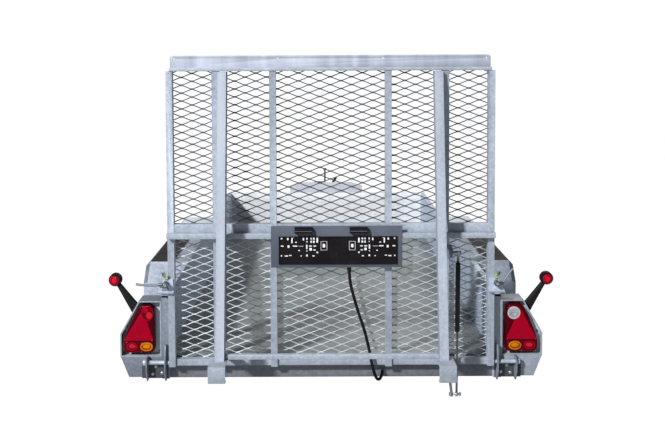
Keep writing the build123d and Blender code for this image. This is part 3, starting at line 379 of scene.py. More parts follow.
def skin(rings, caps=True, loop=False):
    """Quads between each ring of points and the next; flat caps on the first and last ring,
    or the last ring joined to the first."""
    rings = np.asarray(rings, float)
    rows, count = rings.shape[:2]
    here = np.arange(rows * count).reshape(rows, count)
    after, beside = np.roll(here, -1, axis=0), np.roll(here, -1, axis=1)
    quads = np.stack([here, beside, np.roll(after, -1, axis=1), after], axis=-1)
    faces = quads[:rows if loop else rows - 1].reshape(-1, 4).tolist()
    if caps and not loop:
        faces += [here[0, ::-1].tolist(), here[-1].tolist()]
    return rings.reshape(-1, 3), faces


def upright(flat, y):
    """Flat (x, z) points stood up at one distance forwards."""
    return np.c_[flat[:, 0], np.full(len(flat), y), flat[:, 1]]


def unit(vectors):
    """Vectors of length one."""
    vectors = np.asarray(vectors, float)
    return vectors / np.linalg.norm(vectors, axis=-1, keepdims=True)


def carried(outline, path, up=(0, 0, 1), sizes=None):
    """A flat outline carried along a path: at each point its x goes sideways and its y towards
    up, both square to the path's direction, and both are scaled by the size there."""
    path = np.asarray(path, float)
    along = unit(np.gradient(path, axis=0))
    side = unit(np.cross(np.asarray(up, float), along))
    above = np.cross(along, side)
    size = np.ones(len(path)) if sizes is None else np.asarray(sizes, float)
    section = outline[None, :, :1] * side[:, None] + outline[None, :, 1:] * above[:, None]
    return skin(path[:, None] + size[:, None, None] * section)


def pin(start, end, radius, count=20):
    """Round bar that lies flat: a circle carried straight from one point to another."""
    return carried(ring(radius, count), [start, end])


AXES = {"x": np.array([(0, 1, 0), (0, 0, 1), (1, 0, 0)], float),
        "y": np.array([(0, 0, 1), (1, 0, 0), (0, 1, 0)], float),
        "z": np.array([(1, 0, 0), (0, 1, 0), (0, 0, 1)], float)}


def turned(profile, centre, axis, count=32, loop=False):
    """A profile of (distance along the axis, radius) points turned about the axis: at each
    angle the point lies at radius times (cosine, sine) in the plane square to the axis."""
    profile = np.asarray(profile, float)[:, None]
    across, up, along = AXES[axis]
    flat = ring(1.0, count)
    spread = flat[:, :1] * across + flat[:, 1:] * up
    return skin(np.asarray(centre, float) + profile[..., :1] * along + profile[..., 1:] * spread, loop=loop)


def prism(outline, axis, start, end):
    """A flat outline given in the two other axes, in order, drawn out along one axis."""
    outline = anticlockwise(outline)
    if axis == "y":
        outline = outline[::-1]
    place = {"x": [1, 2, 0], "y": [0, 2, 1], "z": [0, 1, 2]}[axis]
    rings = np.zeros((2, len(outline), 3))
    for one, along in zip(rings, sorted((start, end))):
        one[:, place] = np.c_[outline, np.full(len(outline), along)]
    return skin(rings)


def slab(low, high):
    """Box between two corners."""
    (x0, y0, z0), (x1, y1, z1) = low, high
    return prism([(x0, y0), (x1, y0), (x1, y1), (x0, y1)], "z", z0, z1)


def join(*shapes):
    """Several shapes as one."""
    points, faces, count = [], [], 0
    for some, shape_faces in shapes:
        points.append(some)
        faces += [[i + count for i in face] for face in shape_faces]
        count += len(some)
    return np.vstack(points), faces


def flipped(shape, sizes, place=(0, 0, 0)):
    """The shape scaled by sizes of which one is negative, then moved, still facing outwards."""
    points, faces = shape
    return points * sizes + place, [face[::-1] for face in faces]


def mirrored(shape):
    """The shape on the trailer's other side."""
    return flipped(shape, (-1, 1, 1))


def on_side(side, parts):
    """Parts that were made for the right side, on the side asked for."""
    return parts if side > 0 else [(mirrored(shape), finish) for shape, finish in parts]


def both(*shapes):
    """Shapes and their mirror images."""
    shape = join(*shapes)
    return join(shape, mirrored(shape))


def bolt(place, axis, size=8 * MM, out=1):
    """Hexagon head with a chamfered face on a round washer; out says which way it points."""
    washer = [(0, size * 1.08), (size * 0.16, size * 1.08), (size * 0.2, size * 1.02)]
    head = [(size * 0.2, size * 0.9), (size * 0.75, size * 0.9), (size * 0.85, size * 0.76)]
    shape = join(turned(head, (0, 0, 0), "z", 6), turned(washer, (0, 0, 0), "z", 18))
    points, faces = shape if out > 0 else flipped(shape, (1, 1, -1))
    return points @ AXES[axis] + np.asarray(place, float), faces


def corner_curve(before, corner, after, reach, steps):
    """Parabola that rounds a corner, from reach before it to reach after it."""
    t = np.linspace(0, 1, steps)[:, None]
    start, end = corner + reach * unit(before - corner), corner + reach * unit(after - corner)
    return (1 - t) ** 2 * start + 2 * t * (1 - t) * corner + t ** 2 * end


def bent(points, radius, bend, up=(0, 0, 1)):
    """Round rod along a line of points, with each corner rounded over the bend's length."""
    points = np.asarray(points, float)
    path = [points[0]]
    for before, corner, after in zip(points, points[1:], points[2:]):
        path.extend(corner_curve(before, corner, after, bend, 6))
    path.append(points[-1])
    return carried(ring(radius, 12), path, up)


def coil(start, end, radius, wire, turns):
    """Helix about the line from start to end: the angle grows evenly along it."""
    start, end = np.asarray(start, float), np.asarray(end, float)
    along = unit(end - start)
    side = unit(np.cross(along, (1, 0, 0)))
    other = np.cross(along, side)
    t = np.linspace(0, 1, int(turns * 16))[:, None]
    angle = t * turns * TURN
    path = start + t * (end - start) + radius * (np.cos(angle) * side + np.sin(angle) * other)
    return carried(ring(wire, 8), path, along)


# ---------------- pieces
def make_piece(name, parts, body, replaces=(), bevel=0.0, sharp=35.0):
    """A mesh from (shape, finish) parts, riding on a CAD body."""
    points, faces = join(*[shape for shape, finish in parts])
    mesh = bpy.data.meshes.new(name)
    mesh.from_pydata(points, [], faces)
    finishes = list(dict.fromkeys(finish for shape, finish in parts))
    for finish in finishes:
        mesh.materials.append(finish)
    numbers = [finishes.index(finish) for shape, finish in parts for face in shape[1]]
    mesh.polygons.foreach_set("material_index", numbers)
    return finish_piece(name, mesh, body, replaces, bevel, sharp)


def finish_piece(name, mesh, body, replaces, bevel, sharp):
    """Links a mesh, rounds its edges, and ties it to its CAD body and nodes."""
    mesh.polygons.foreach_set("use_smooth", np.ones(len(mesh.polygons), bool))
    if not bevel:
        mesh.set_sharp_from_angle(angle=math.radians(sharp))
    piece = bpy.data.objects.new(name, mesh)
    bpy.context.scene.collection.objects.link(piece)
    if bevel:
        edge = piece.modifiers.new("edges", "BEVEL")
        edge.width, edge.segments = bevel, 2
        edge.limit_method, edge.angle_limit = "ANGLE", math.radians(sharp)
        edge.harden_normals = True
    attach(piece, body)
    if replaces:
        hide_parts(*replaces)
    return piece


def softened(node, finish, bevel, zones=(), sharp=38.0):
    """The CAD node's own shape with its triangles merged into flat faces and its edges rounded.
    Each zone gives a finish to the faces that its test picks by their normals and middles."""
    mesh = frame["nodes"][node].data.copy()
    mesh.name = node + "_shape"
    work = bmesh.new()
    work.from_mesh(mesh)
    bmesh.ops.remove_doubles(work, verts=work.verts, dist=0.01 * MM)
    bmesh.ops.dissolve_limit(work, angle_limit=math.radians(0.6), verts=work.verts, edges=work.edges)
    work.to_mesh(mesh)
    work.free()
    mesh.materials.clear()
    mesh.materials.append(finish)
    normals, middles = np.zeros((2, len(mesh.polygons), 3))
    mesh.polygons.foreach_get("normal", normals.ravel())
    mesh.polygons.foreach_get("center", middles.ravel())
    number = np.zeros(len(mesh.polygons), int)
    for test, zone_finish in zones:
        mesh.materials.append(zone_finish)
        number[test(normals, middles)] = len(mesh.materials) - 1
    mesh.polygons.foreach_set("material_index", number)
    return finish_piece(node + "_body", mesh, frame["nodes"][node]["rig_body"], (node,), bevel, sharp)


# ---------------- lamp cable
cable_curve.materials.append(CABLE_SHEATH)
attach(lamp_cable, "ramp")
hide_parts("plate_lamp_cable")


def cable_boot():
    """Strain relief under the panel's exit: a cone of rings whose radius falls towards the cable
    and swells at each rib."""
    top, below = CABLE_ROUTE[:2]
    share = np.linspace(0, 1, 25)
    radius = (10.5 - 2.7 * share + 0.5 * np.cos(share * 6 * TURN) * (1 - share)) * MM
    path = top + share[:, None] * (below - top) * (30 * MM / (top - below)[2])
    return carried(ring(1.0, 20), path, (0, 1, 0), radius)


boot = make_piece("cable_boot", [(cable_boot(), RUBBER)], "ramp")


# ---------------- expanded mesh of the ramp
mesh_low, mesh_high = node_box("ramp_mesh")
mesh_depth = (mesh_low[1] + mesh_high[1]) / 2 + 0.8 * MM
sheet_corners = frame["nodes"]["ramp_mesh"].data.vertices
corner_places = np.zeros((len(sheet_corners), 3))
sheet_corners.foreach_get("co", corner_places.ravel())
lower_sheet_top, upper_sheet_low = np.unique(np.round(corner_places[:, 2], 4))[1:3]


def strand_rows(low, high, width, tilt):
    """Expanded mesh between two heights: zigzag strands with a flat at each knot. A strand's
    height over x is a triangle wave cut off at both ends, and every other strand is shifted half
    a wave, so that neighbours meet at the knots."""
    wave, pitch, rise, flat, thick = 97 * MM, 18 * MM, 7.6 * MM, 11 * MM, 2.8 * MM
    half = mesh_high[0]
    corners = np.array([(width, thick), (-width, thick), (-width, -thick), (width, -thick)]) / 2
    tilt = math.radians(tilt)
    turn = np.array([(math.cos(tilt), math.sin(tilt)), (-math.sin(tilt), math.cos(tilt))])
    section = (corners @ turn)[::-1]
    count = int((high - low - 2 * rise) / pitch)
    start = (low + high - count * pitch) / 2
    waves = math.ceil(half / wave) + 1
    corner_x, corner_z = np.array([-flat, flat, wave - flat, wave + flat]) / 2, (rise, rise, -rise, -rise)
    shapes = []
    for number in range(count + 1):
        knots = (np.arange(-waves, waves + 1) + number % 2 / 2) * wave
        x, z = (knots[:, None] + corner_x).ravel(), np.tile(corner_z, len(knots))
        inside = np.abs(x) < half
        first, last = np.interp((-half, half), x, z)
        x, z = np.r_[-half, x[inside], half], np.r_[first, z[inside], last]
        rings = np.zeros((len(x), 4, 3))
        rings[:, :, 0] = x[:, None]
        rings[:, :, 1] = mesh_depth + section[:, 1]
        rings[:, :, 2] = start + number * pitch + z[:, None] + section[:, 0]
        shapes.append(skin(rings))
    return join(*shapes)


# the lower sheet's strands lean so that they show their upper sides to the rear, and the upper sheet is the
# other way round; the upper sheet also takes a far darker copy of the mesh zinc, which is painted shade on
# its strands
lower_strands = strand_rows(mesh_low[2], lower_sheet_top, 5.4 * MM, -52)
upper_strands = strand_rows(upper_sheet_low, mesh_high[2], 4.1 * MM, 40)
make_piece("ramp_mesh_strands", [(lower_strands, ZINC_MESH), (upper_strands, UPPER_MESH_PAINTED_SHADE)], "ramp",
           ["ramp_mesh"], sharp=20)


# ---------------- number plate panel
holder_low, holder_high = node_box("plate_holder")
holder_x = (holder_low[0] + holder_high[0]) / 2


def pierced_sheet(edges_x, edges_z, open_cells, front, back):
    """Sheet cut on a grid of cells: each kept cell has a front and a back, and a wall stands
    wherever a kept cell meets an open one or the outside."""
    columns, rows = len(edges_x) - 1, len(edges_z) - 1
    kept = np.ones((columns + 2, rows + 2), bool)
    kept[[0, -1]] = kept[:, [0, -1]] = False
    kept[1:-1, 1:-1] &= ~open_cells
    grid_x, grid_z = np.meshgrid(edges_x, edges_z, indexing="ij")
    flat = np.c_[grid_x.ravel(), grid_z.ravel()]
    points = np.vstack([upright(flat, front), upright(flat, back)])
    layer = len(flat)
    number = np.arange(layer).reshape(columns + 1, rows + 1)
    a, b, c, d = number[:-1, :-1], number[1:, :-1], number[1:, 1:], number[:-1, 1:]
    inside = kept[1:-1, 1:-1]
    faces = [np.stack([a, b, c, d], -1)[inside], np.stack([d, c, b, a], -1)[inside] + layer]
    for start, end, beside in ((b, a, kept[1:-1, :-2]), (c, b, kept[2:, 1:-1]),
                               (d, c, kept[1:-1, 2:]), (a, d, kept[:-2, 1:-1])):
        wall = inside & ~beside
        faces.append(np.stack([start, end, end + layer, start + layer], -1)[wall])
    return points, np.vstack(faces).tolist()


# Cut-outs of the holder's left half, mirrored to its right half:
# distance from the middle (from, to), height above the bottom edge (from, to), in millimetres.
HOLDER_CUTS = (
    (-79, -76, 63, 105), (-52, -49, 63, 105), (-79, -49, 63, 66), (-79, -49, 102, 105), (-70, -58, 76, 93),
    (-98, -90, 98, 126), (-114, -105, 112, 124), (-114, -105, 97, 108), (-125, -118, 112, 124),
    (-125, -118, 97, 108), (-144, -137, 112, 124), (-144, -137, 100, 106), (-160, -153, 108, 126),
    (-145, -138, 69, 90), (-145, -138, 58, 63), (-145, -137, 35, 45), (-132, -118, 80, 86),
    (-112, -99, 80, 86), (-130, -118, 62, 75), (-112, -101, 62, 68), (-117, -106, 35, 41),
    (-206, -184, 80, 86), (-180, -156, 81, 84), (-229, -219, 75, 87), (-259, -245, 80, 86),
    (-242, -226, 35, 41), (-222, -210, 38, 43), (-259, -253, 35, 43), (-170, -164, 35, 41),
    (-212, -205, 96, 124), (-205, -198, 118, 124), (-231, -223, 110, 124), (-259, -251, 114, 124),
    (-195, -186, 97, 103), (-98, -90, 50, 58), (-180, -172, 60, 66),
)


def cut_grid(cuts, low, high):
    """Edges of all cuts as grid lines, and which cells lie inside a cut."""
    cuts = np.array(cuts, float)
    edges_x = np.unique(np.r_[low[0], high[0], cuts[:, :2].ravel()])
    edges_z = np.unique(np.r_[low[1], high[1], cuts[:, 2:].ravel()])
    x = (edges_x[1:] + edges_x[:-1])[:, None, None] / 2
    z = (edges_z[1:] + edges_z[:-1])[None, :, None] / 2
    opened = ((x > cuts[:, 0]) & (x < cuts[:, 1]) & (z > cuts[:, 2]) & (z < cuts[:, 3])).any(-1)
    return edges_x, edges_z, opened


def number_plate_holder():
    """Black moulded holder: a sheet with cut-outs, a rim round it, a lip that holds the plate's
    lower edge, two upright ribs and six screw heads."""
    (x0, front, z0), (x1, back, z1) = holder_low, holder_high
    half, height = (x1 - x0) / 2 / MM, (z1 - z0) / MM
    cuts = HOLDER_CUTS + tuple((-b, -a, c, d) for a, b, c, d in HOLDER_CUTS)
    edges_x, edges_z, opened = cut_grid(cuts, (-half, 0), (half, height))
    sheet = pierced_sheet(edges_x * MM + holder_x, edges_z * MM + z0, opened, front + 3 * MM, back)
    bar_back, rim, lip_top = front + 3.2 * MM, 3.2 * MM, z0 + 24 * MM
    bars = [slab((x0, front, z0), (x1, bar_back, lip_top)), slab((x0, front, z1 - rim), (x1, bar_back, z1)),
            slab((x0, front, z0), (x0 + rim, bar_back, z1)), slab((x1 - rim, front, z0), (x1, bar_back, z1))]
    for x in (holder_x - 44 * MM, holder_x + 44 * MM):
        bars.append(slab((x - 1.5 * MM, front + 1 * MM, lip_top), (x + 1.5 * MM, bar_back, z1 - rim)))
    head = turned([(0, 5.5 * MM), (1.6 * MM, 5.5 * MM), (2.4 * MM, 4.0 * MM)], (0, 0, 0), "y", 16)
    screws = [flipped(head, (1, -1, 1), (holder_x + x * MM, front + 3 * MM, z0 + z * MM))
              for x, z in ((-226, 60), (226, 60), (-125, 50), (125, 50), (0, 100), (0, 45))]
    return join(sheet, *bars, *screws)


make_piece("number_plate_holder", [(number_plate_holder(), BLACK_PLASTIC)], "ramp", ["plate_holder"])
# a pale sheet behind the holder's cut-outs is painted light: it stands in for the bright view through them
backing = slab((holder_low[0] + 5 * MM, holder_high[1] - 0.6 * MM, holder_low[2] + 5 * MM),
               (holder_high[0] - 5 * MM, holder_high[1], holder_high[2] - 3 * MM))
make_piece("plate_painted_light_sheet", [(backing, PAINTED_LIGHT_SHEET)], "ramp")
softened("plate_panel", PANEL_PAINT, 0.9 * MM)

PLATE_LAMP_HALF = 39.5 * MM


def plate_lamp(centre, low, high):
    """Number plate lamp: hood whose roof is a quarter of an ellipse, a bright line across it and
    a lens under it."""
    left, right = centre - PLATE_LAMP_HALF, centre + PLATE_LAMP_HALF
    rear, foot, front, top = *low[1:], *high[1:]
    depth, height = front - rear, top - foot
    t = np.linspace(0, math.pi / 2, 6)
    roof = np.c_[front - depth * 0.45 - depth * 0.55 * np.sin(t), top - height * 0.4 * (1 - np.cos(t))]
    outline = np.vstack([(front, top), roof, (rear, foot + 4 * MM), (rear + 3 * MM, foot + 1 * MM),
                         (front, foot + 1 * MM)])
    line = slab((left, rear - 0.6 * MM, foot + height * 0.36), (right, rear + 2 * MM, foot + height * 0.48))
    glass = slab((left + 8 * MM, rear + 4 * MM, foot), (right - 8 * MM, front - 8 * MM, foot + 2 * MM))
    return [(prism(outline, "x", left, right), BLACK_PLASTIC), (line, PANEL_PAINT), (glass, CLEAR_LENS)]


lamp_low, lamp_high = node_box("plate_lamps")
lamp_parts = (plate_lamp(lamp_low[0] + PLATE_LAMP_HALF, lamp_low, lamp_high)
              + plate_lamp(lamp_high[0] - PLATE_LAMP_HALF, lamp_low, lamp_high))
make_piece("plate_lamp_pair", lamp_parts, "ramp", ["plate_lamps"], bevel=0.8 * MM)


# ---------------- rear lamps
def smooth_outline(corners, reaches):
    """Closed outline with each corner rounded over its own reach."""
    corners = np.asarray(corners, float)
    before, after = np.roll(corners, 1, axis=0), np.roll(corners, -1, axis=0)
    return np.vstack([corner_curve(*corner, 5) for corner in zip(before, corners, after, reaches)])


def domed(outline, back, front, inset, dome):
    """Body whose side rises from back to front and rolls over by the inset, then a face that
    swells by the dome towards its middle; the outline is (x, z) and the face looks to -Y."""
    outline = anticlockwise(outline)
    centre = (outline.max(0) + outline.min(0)) / 2
    size = (outline.max(0) - outline.min(0)) / 2
    rings = [(1.0, back)]
    for angle in np.linspace(0, math.pi / 2, 4):
        rings.append((1 - inset / size.min() * (1 - math.cos(angle)), front + inset * (1 - math.sin(angle))))
    face = rings[-1][0]
    rings += [(face * share, front - dome * (1 - share * share)) for share in (0.8, 0.55, 0.28, 0.02)]
    return skin([upright(centre + (outline - centre) * share, y) for share, y in rings])


def rear_lamp(side):
    """Rear lamp: dark red body, a tall triangle reflector, a round lamp at its head towards the
    bed, and two oval lamps over the foot. Its sizes are in millimetres."""
    name = "right" if side > 0 else "left"
    low, high = node_box("rear_lamp_" + name)
    centre = (low[0] + high[0]) / 2
    back, front, foot = high[1], low[1] + 3 * MM, low[2]
    parts = []

    def place(outline):
        """Outwards from the lamp's middle and up from its foot, to the frame's x and z."""
        return np.asarray(outline, float) * (side * MM, MM) + (centre, foot)

    def disc(out, up, half_width, half_height, lift, dome, finish, rim=None):
        """Oval lens that stands out by its lift, and the raised ring round it."""
        circle = place(ring(1.0, 36) * (half_width, half_height) + (out, up))
        parts.append((domed(circle, front + 2 * MM, front - lift * MM, 2.0 * MM, dome * MM), finish))
        if rim:
            profile = [(0, 1.0), (0.6, 1.12), (1.3, 1.08), (1.3, 0.98), (0.5, 0.96)]
            band = turned(profile, (0, 0, 0), "y", 40, loop=True)
            middle = (centre + side * out * MM, front - (lift - 1.2) * MM, foot + up * MM)
            parts.append((flipped(band, (half_width * MM, -1.6 * MM, half_height * MM), middle), rim))

    # the left lamp sits a little further out at its foot than the right one
    shift = 0 if side > 0 else 9
    inner, outer = -74 + 1.5 * shift, 77 + 0.7 * shift
    body = smooth_outline([(inner, 14), (inner + 14, 0), (outer - 15, 0), (outer, 18), (outer, 60), (20, 200),
                           (-4, 225), (-44 + shift, 225), (-68 + shift, 210), (-70 + shift, 180),
                           (inner, 80)], [10, 10, 12, 12, 25, 35, 14, 18, 18, 30, 30])
    triangle = smooth_outline([(inner + 3, 58), (outer - 3, 58), (-6 - shift / 2, 206)], [9, 9, 9])
    base = smooth_outline([(inner + 6, 5), (inner + 15, 3), (outer - 17, 3), (outer - 5, 8), (outer - 4, 54),
                           (inner + 6, 54)], [6, 6, 6, 12, 6, 6])
    parts.append((domed(place(body), back, front, 7 * MM, 1.0 * MM), DEEP_LENS))
    parts.append((domed(place(triangle), front + 2 * MM, front - 1.6 * MM, 2 * MM, 0.2 * MM), RED_LENS))
    parts.append((domed(place(base), front + 2 * MM, front - 0.6 * MM, 2 * MM, 0.2 * MM), DARK_RED_LENS))
    # in the left lamp's head and in the ovals below, the small bright discs set off the middle are partly
    # lens pattern and partly a painted highlight
    if side > 0:
        disc(-34, 182, 30, 30, 1.9, 0.4, RIM_LENS)
        disc(-35, 183, 23, 23, 2.4, 0.3, CLEAR_LENS)
        disc(-30, 174, 9, 9, 2.8, 0.2, RIM_LENS)
    else:
        disc(-30, 186, 26, 31, 1.9, 0.4, DARK_RED_LENS, RED_LENS)
        disc(-20, 202, 14, 16.1, 2.5, 0.3, RED_LENS)
        disc(-38, 176, 15, 17.25, 2.5, 0.3, RED_LENS_AND_HIGHLIGHT)
    amber, red = -29 + 0.6 * shift, 39 + 0.5 * shift
    disc(amber, 30, 31, 22, 1.2, 0.6, AMBER_LENS, DEEP_LENS)
    disc(amber + 1, 30, 24, 15.5, 2.0, 0.3, DEEP_AMBER_LENS)
    disc(amber, 32, 19, 11, 2.5, 0.3, AMBER_LENS)
    disc(red, 30, 29, 21, 1.2, 0.6, RED_LENS, DEEP_LENS)
    disc(red, 30, 22, 14.5, 2.0, 0.3, DARK_RED_LENS)
    disc(red - 2, 32, 17, 10, 2.5, 0.3, RED_LENS_AND_HIGHLIGHT)
    for out, up in ((inner + 10, 60), (outer - 8, 62), (0, 5)):
        disc(out, up, 2.6, 2.6, 1.9, 0.3, STEEL_DARK)
    make_piece("rear_lamp_" + name + "_lenses", parts, "chassis", ["rear_lamp_" + name], sharp=50)


for side in (-1, 1):
    rear_lamp(side)


# ---------------- lamp boxes
# the box's slanted side runs from the foot's height at its outer wall to the top's distance out
slant_foot_z, slant_top_x = hinge_z + 126 * MM, bed_half + 139 * MM


def shrunk(outline, distance):
    """An outline moved inwards: each corner slides along the line that halves its angle."""
    ahead, behind = unit(np.roll(outline, -1, axis=0) - outline), unit(outline - np.roll(outline, 1, axis=0))
    inwards = ahead + behind
    inwards = np.c_[-inwards[:, 1], inwards[:, 0]]
    return outline + distance * 2 * inwards / np.sum(inwards ** 2, axis=1, keepdims=True)


def lamp_box(side):
    """Turned rim of the lamp box, its lining, painted lighter than the box's sheet to lift the shade in the
    recess, and the bolts at its corners.
    """
    name = "right" if side > 0 else "left"
    low, high = node_box("lamp_box_" + name)
    rear, wall = low[1], node_box("rear_lamp_" + name)[1][1]
    inner, outer = sorted((abs(low[0]), abs(high[0])))
    shelf, top = hinge_z + 19 * MM, high[2]
    outline = np.array([(inner, shelf), (outer, shelf), (outer, slant_foot_z), (slant_top_x, top),
                        (inner, top)])
    hole = shrunk(outline, 6 * MM)
    rim = skin([upright(outline, rear + 1.5 * MM), upright(outline, rear - 1.2 * MM),
                upright(hole, rear - 1.2 * MM), upright(hole, rear + 1.5 * MM)], loop=True)
    edge = shrunk(outline, 3.6 * MM)
    points, faces = skin([upright(edge, rear + 1.5 * MM), upright(edge, wall - 0.6 * MM)], caps=False)
    faces.append(list(range(len(edge), 2 * len(edge))))
    parts = [(rim, ZINC_RIM), ((points, [face[::-1] for face in faces]), ZINC_RECESS_PAINTED_LIGHT)]
    for x, z in shrunk(outline, 15 * MM)[[0, 1, 2, 4]]:
        parts.append((bolt((x, wall - 0.8 * MM, z), "y", 5 * MM, -1), STEEL_DARK))
    return on_side(side, parts)


make_piece("lamp_box_rims", lamp_box(-1) + lamp_box(1), "chassis", sharp=30)


# ---------------- marker lamps
def marker_lamp(side):
    """Side marker: a flat rubber stalk that widens towards its foot on the lamp box, and a round
    head whose red lens looks to the rear and whose clear lens looks ahead. The stalk's section
    is a rounded square, scaled to the width and depth there, and turns from the box's slanted
    side to square with the stalk."""
    low, high = node_box("marker_lamps")
    middle_y, half = (low[1] + high[1]) / 2, (high[1] - low[1]) / 2
    head = np.array([high[0] - 30 * MM, middle_y, high[2] - 30 * MM])
    slant_foot = np.array([high[0] - 56 * MM, middle_y, slant_foot_z])
    slant_top = np.array([slant_top_x, middle_y, hinge_z + 280 * MM])
    foot = slant_foot + 0.72 * (slant_top - slant_foot)
    along, slanted = unit(head - foot), unit(slant_top - slant_foot)
    square = np.cross(along, (0, 1, 0))
    square = square * np.sign(square @ slanted)
    share = np.linspace(0, 1, 41)[:, None]
    wide = (27 - 17 * share ** 0.8 + 0.35 * np.cos(share * 24 * TURN)) * MM
    deep = (12 - 3.5 * share) * MM
    sideways = wide * unit(slanted * (1 - share) + square * share)
    ahead = deep * np.array([(0.0, 1.0, 0.0)])
    path = foot + share * (np.linalg.norm(head - foot) - 20 * MM) * along
    outline = rounded(1.0, 0.75)[None]
    stalk = skin(path[:, None] + outline[:, :, :1] * sideways[:, None] + outline[:, :, 1:] * ahead[:, None])
    shell_half = [(half - 8 * MM, 29.6 * MM), (half - 3 * MM, 27 * MM), (half - 7 * MM, 24 * MM)]
    shell = turned(even_profile(shell_half), head, "y", 36)
    rear = middle_y - half
    red_middle = head[[0, 2]] + (2.5 * MM, -2.5 * MM)
    red = domed(ring(22.5 * MM, 32) + red_middle, middle_y, rear + 3.5 * MM, 3 * MM, 3 * MM)
    # a small brighter disc in the red lens's middle: partly lens pattern and partly a painted highlight
    spot = domed(ring(12 * MM, 24) + red_middle, middle_y, rear + 0.6 * MM, 1 * MM, 0.4 * MM)
    clear = domed(ring(22.5 * MM, 32) + head[[0, 2]], middle_y, rear + 4.5 * MM, 3 * MM, 4 * MM)
    clear = flipped(clear, (1, -1, 1), (0, 2 * middle_y, 0))
    return on_side(side, [(stalk, RUBBER), (shell, RUBBER), (red, RED_LENS), (spot, RED_LENS_AND_HIGHLIGHT),
                          (clear, CLEAR_LENS)])


make_piece("marker_lamp_pair", marker_lamp(-1) + marker_lamp(1), "chassis", ["marker_lamps"],
           sharp=50)


# ---------------- ramp latches
def latch(side):
    """Spring latch on the ramp's side: gusset, bolt tube, spring with its tag, and the handle
    rod, which lies flat on the left and is bent up on the right."""
    low, high = node_box("ramp_latches")
    rear, face = low[1], high[1]

    def at(out, ahead, up):
        """Place in millimetres out from the mesh, ahead of the gusset's face and over its foot."""
        return mesh_high[0] + (4 + out) * MM, face + ahead * MM, low[2] + (22 + up) * MM

    def sheet(*outline):
        """Flat places of an outline in the gusset's plane."""
        return [np.array(at(out, 0, up))[[0, 2]] for out, up in outline]

    gusset = prism(sheet((-26, 0), (48, 0), (44, 9), (15, 64), (-24, 64)), "y", face - 6 * MM, face)
    # a thin triangle standing just proud of the gusset's rear face, dark on the left latch only: painted
    # shade
    shade_triangle = prism(sheet((-8, 8), (30, 8), (8, 52)), "y", face - 6.6 * MM, face - 3 * MM)
    lip = slab(at(-26, -17, -3), at(48, -4, 0))
    x, y, z = at(8, 0, 42)
    tube_profile = np.array([(0, 9), (0, 13), (30, 13), (30, 9)]) * MM
    tube = turned(tube_profile, (x, rear + 3 * MM, z), "y", 24)
    core = pin((x, rear, z), (x, y, z), 7 * MM)
    spring = coil(at(9, -9, 72), at(22, -9, 94), 7 * MM, 1.6 * MM, 5)
    tag = slab(at(-2, -15, 64), at(16, -11, 84))
    collar = pin(at(22, -20, 43), at(38, -20, 41), 8 * MM)
    if side < 0:
        rod = bent([at(4, -20, 46), at(48, -20, 38), at(108, -20, 39), at(142, -20, 44)], 5.5 * MM, 14 * MM)
    else:
        rod_end = (*at(80, -20, 0)[:2], high[2] - 3 * MM)
        rod = bent([at(4, -20, 42), at(36, -20, 42), at(48, -20, 66), rod_end], 4.5 * MM, 8 * MM)
    return on_side(side, [(gusset, ZINC_WALL), (lip, ZINC_RIM), (tube, STEEL_DARK), (core, BOLT_ZINC),
                          (rod, ZINC_BOX), (shade_triangle, ZINC_BOX if side < 0 else ZINC_WALL),
                          (collar, STEEL_DARK), (spring, STEEL_DARK), (tag, GREEN_TAG)])


make_piece("ramp_latch_pair", latch(-1) + latch(1), "ramp", ["ramp_latches"], bevel=0.6 * MM)


# ---------------- structure
tip_foot = node_box("ramp_frame")[1][2] - 71 * MM
hinge_rear = node_box("hinge_brackets")[1][1]
arm_low = node_box("strut_arm")[0]
rod_low, rod_high = node_box("strut_rod")
eye_top = node_box("strut_cylinder")[1][2]


def on_tip_plate(normals, middles):
    """Front and rear faces of the plate along the ramp's tip."""
    return (middles[:, 2] > tip_foot) & (abs(normals[:, 1]) > 0.5)


def on_bottom_rail(normals, middles):
    """Faces of the ramp's lowest rail, apart from its top."""
    return (middles[:, 2] < hinge_z + 21 * MM) & (normals[:, 2] < 0.5) & (abs(middles[:, 0]) < 710 * MM)


def on_hinge_plate(normals, middles):
    """Rear faces of the hinge plates, between their ears."""
    return (normals[:, 1] < -0.8) & (middles[:, 1] > hinge_rear - 8 * MM)


def faces_up(normals, middles):
    """Faces that look upwards."""
    return normals[:, 2] > 0.8


def faces_rear(normals, middles):
    """Faces that look to the rear."""
    return normals[:, 1] < -0.5


def on_upper_eye(normals, middles):
    """Faces of the strut's upper eye."""
    return middles[:, 2] > eye_top - 36 * MM


def on_lower_eye(normals, middles):
    """Faces of the strut's lower eye."""
    return middles[:, 2] < rod_low[2] + 34 * MM


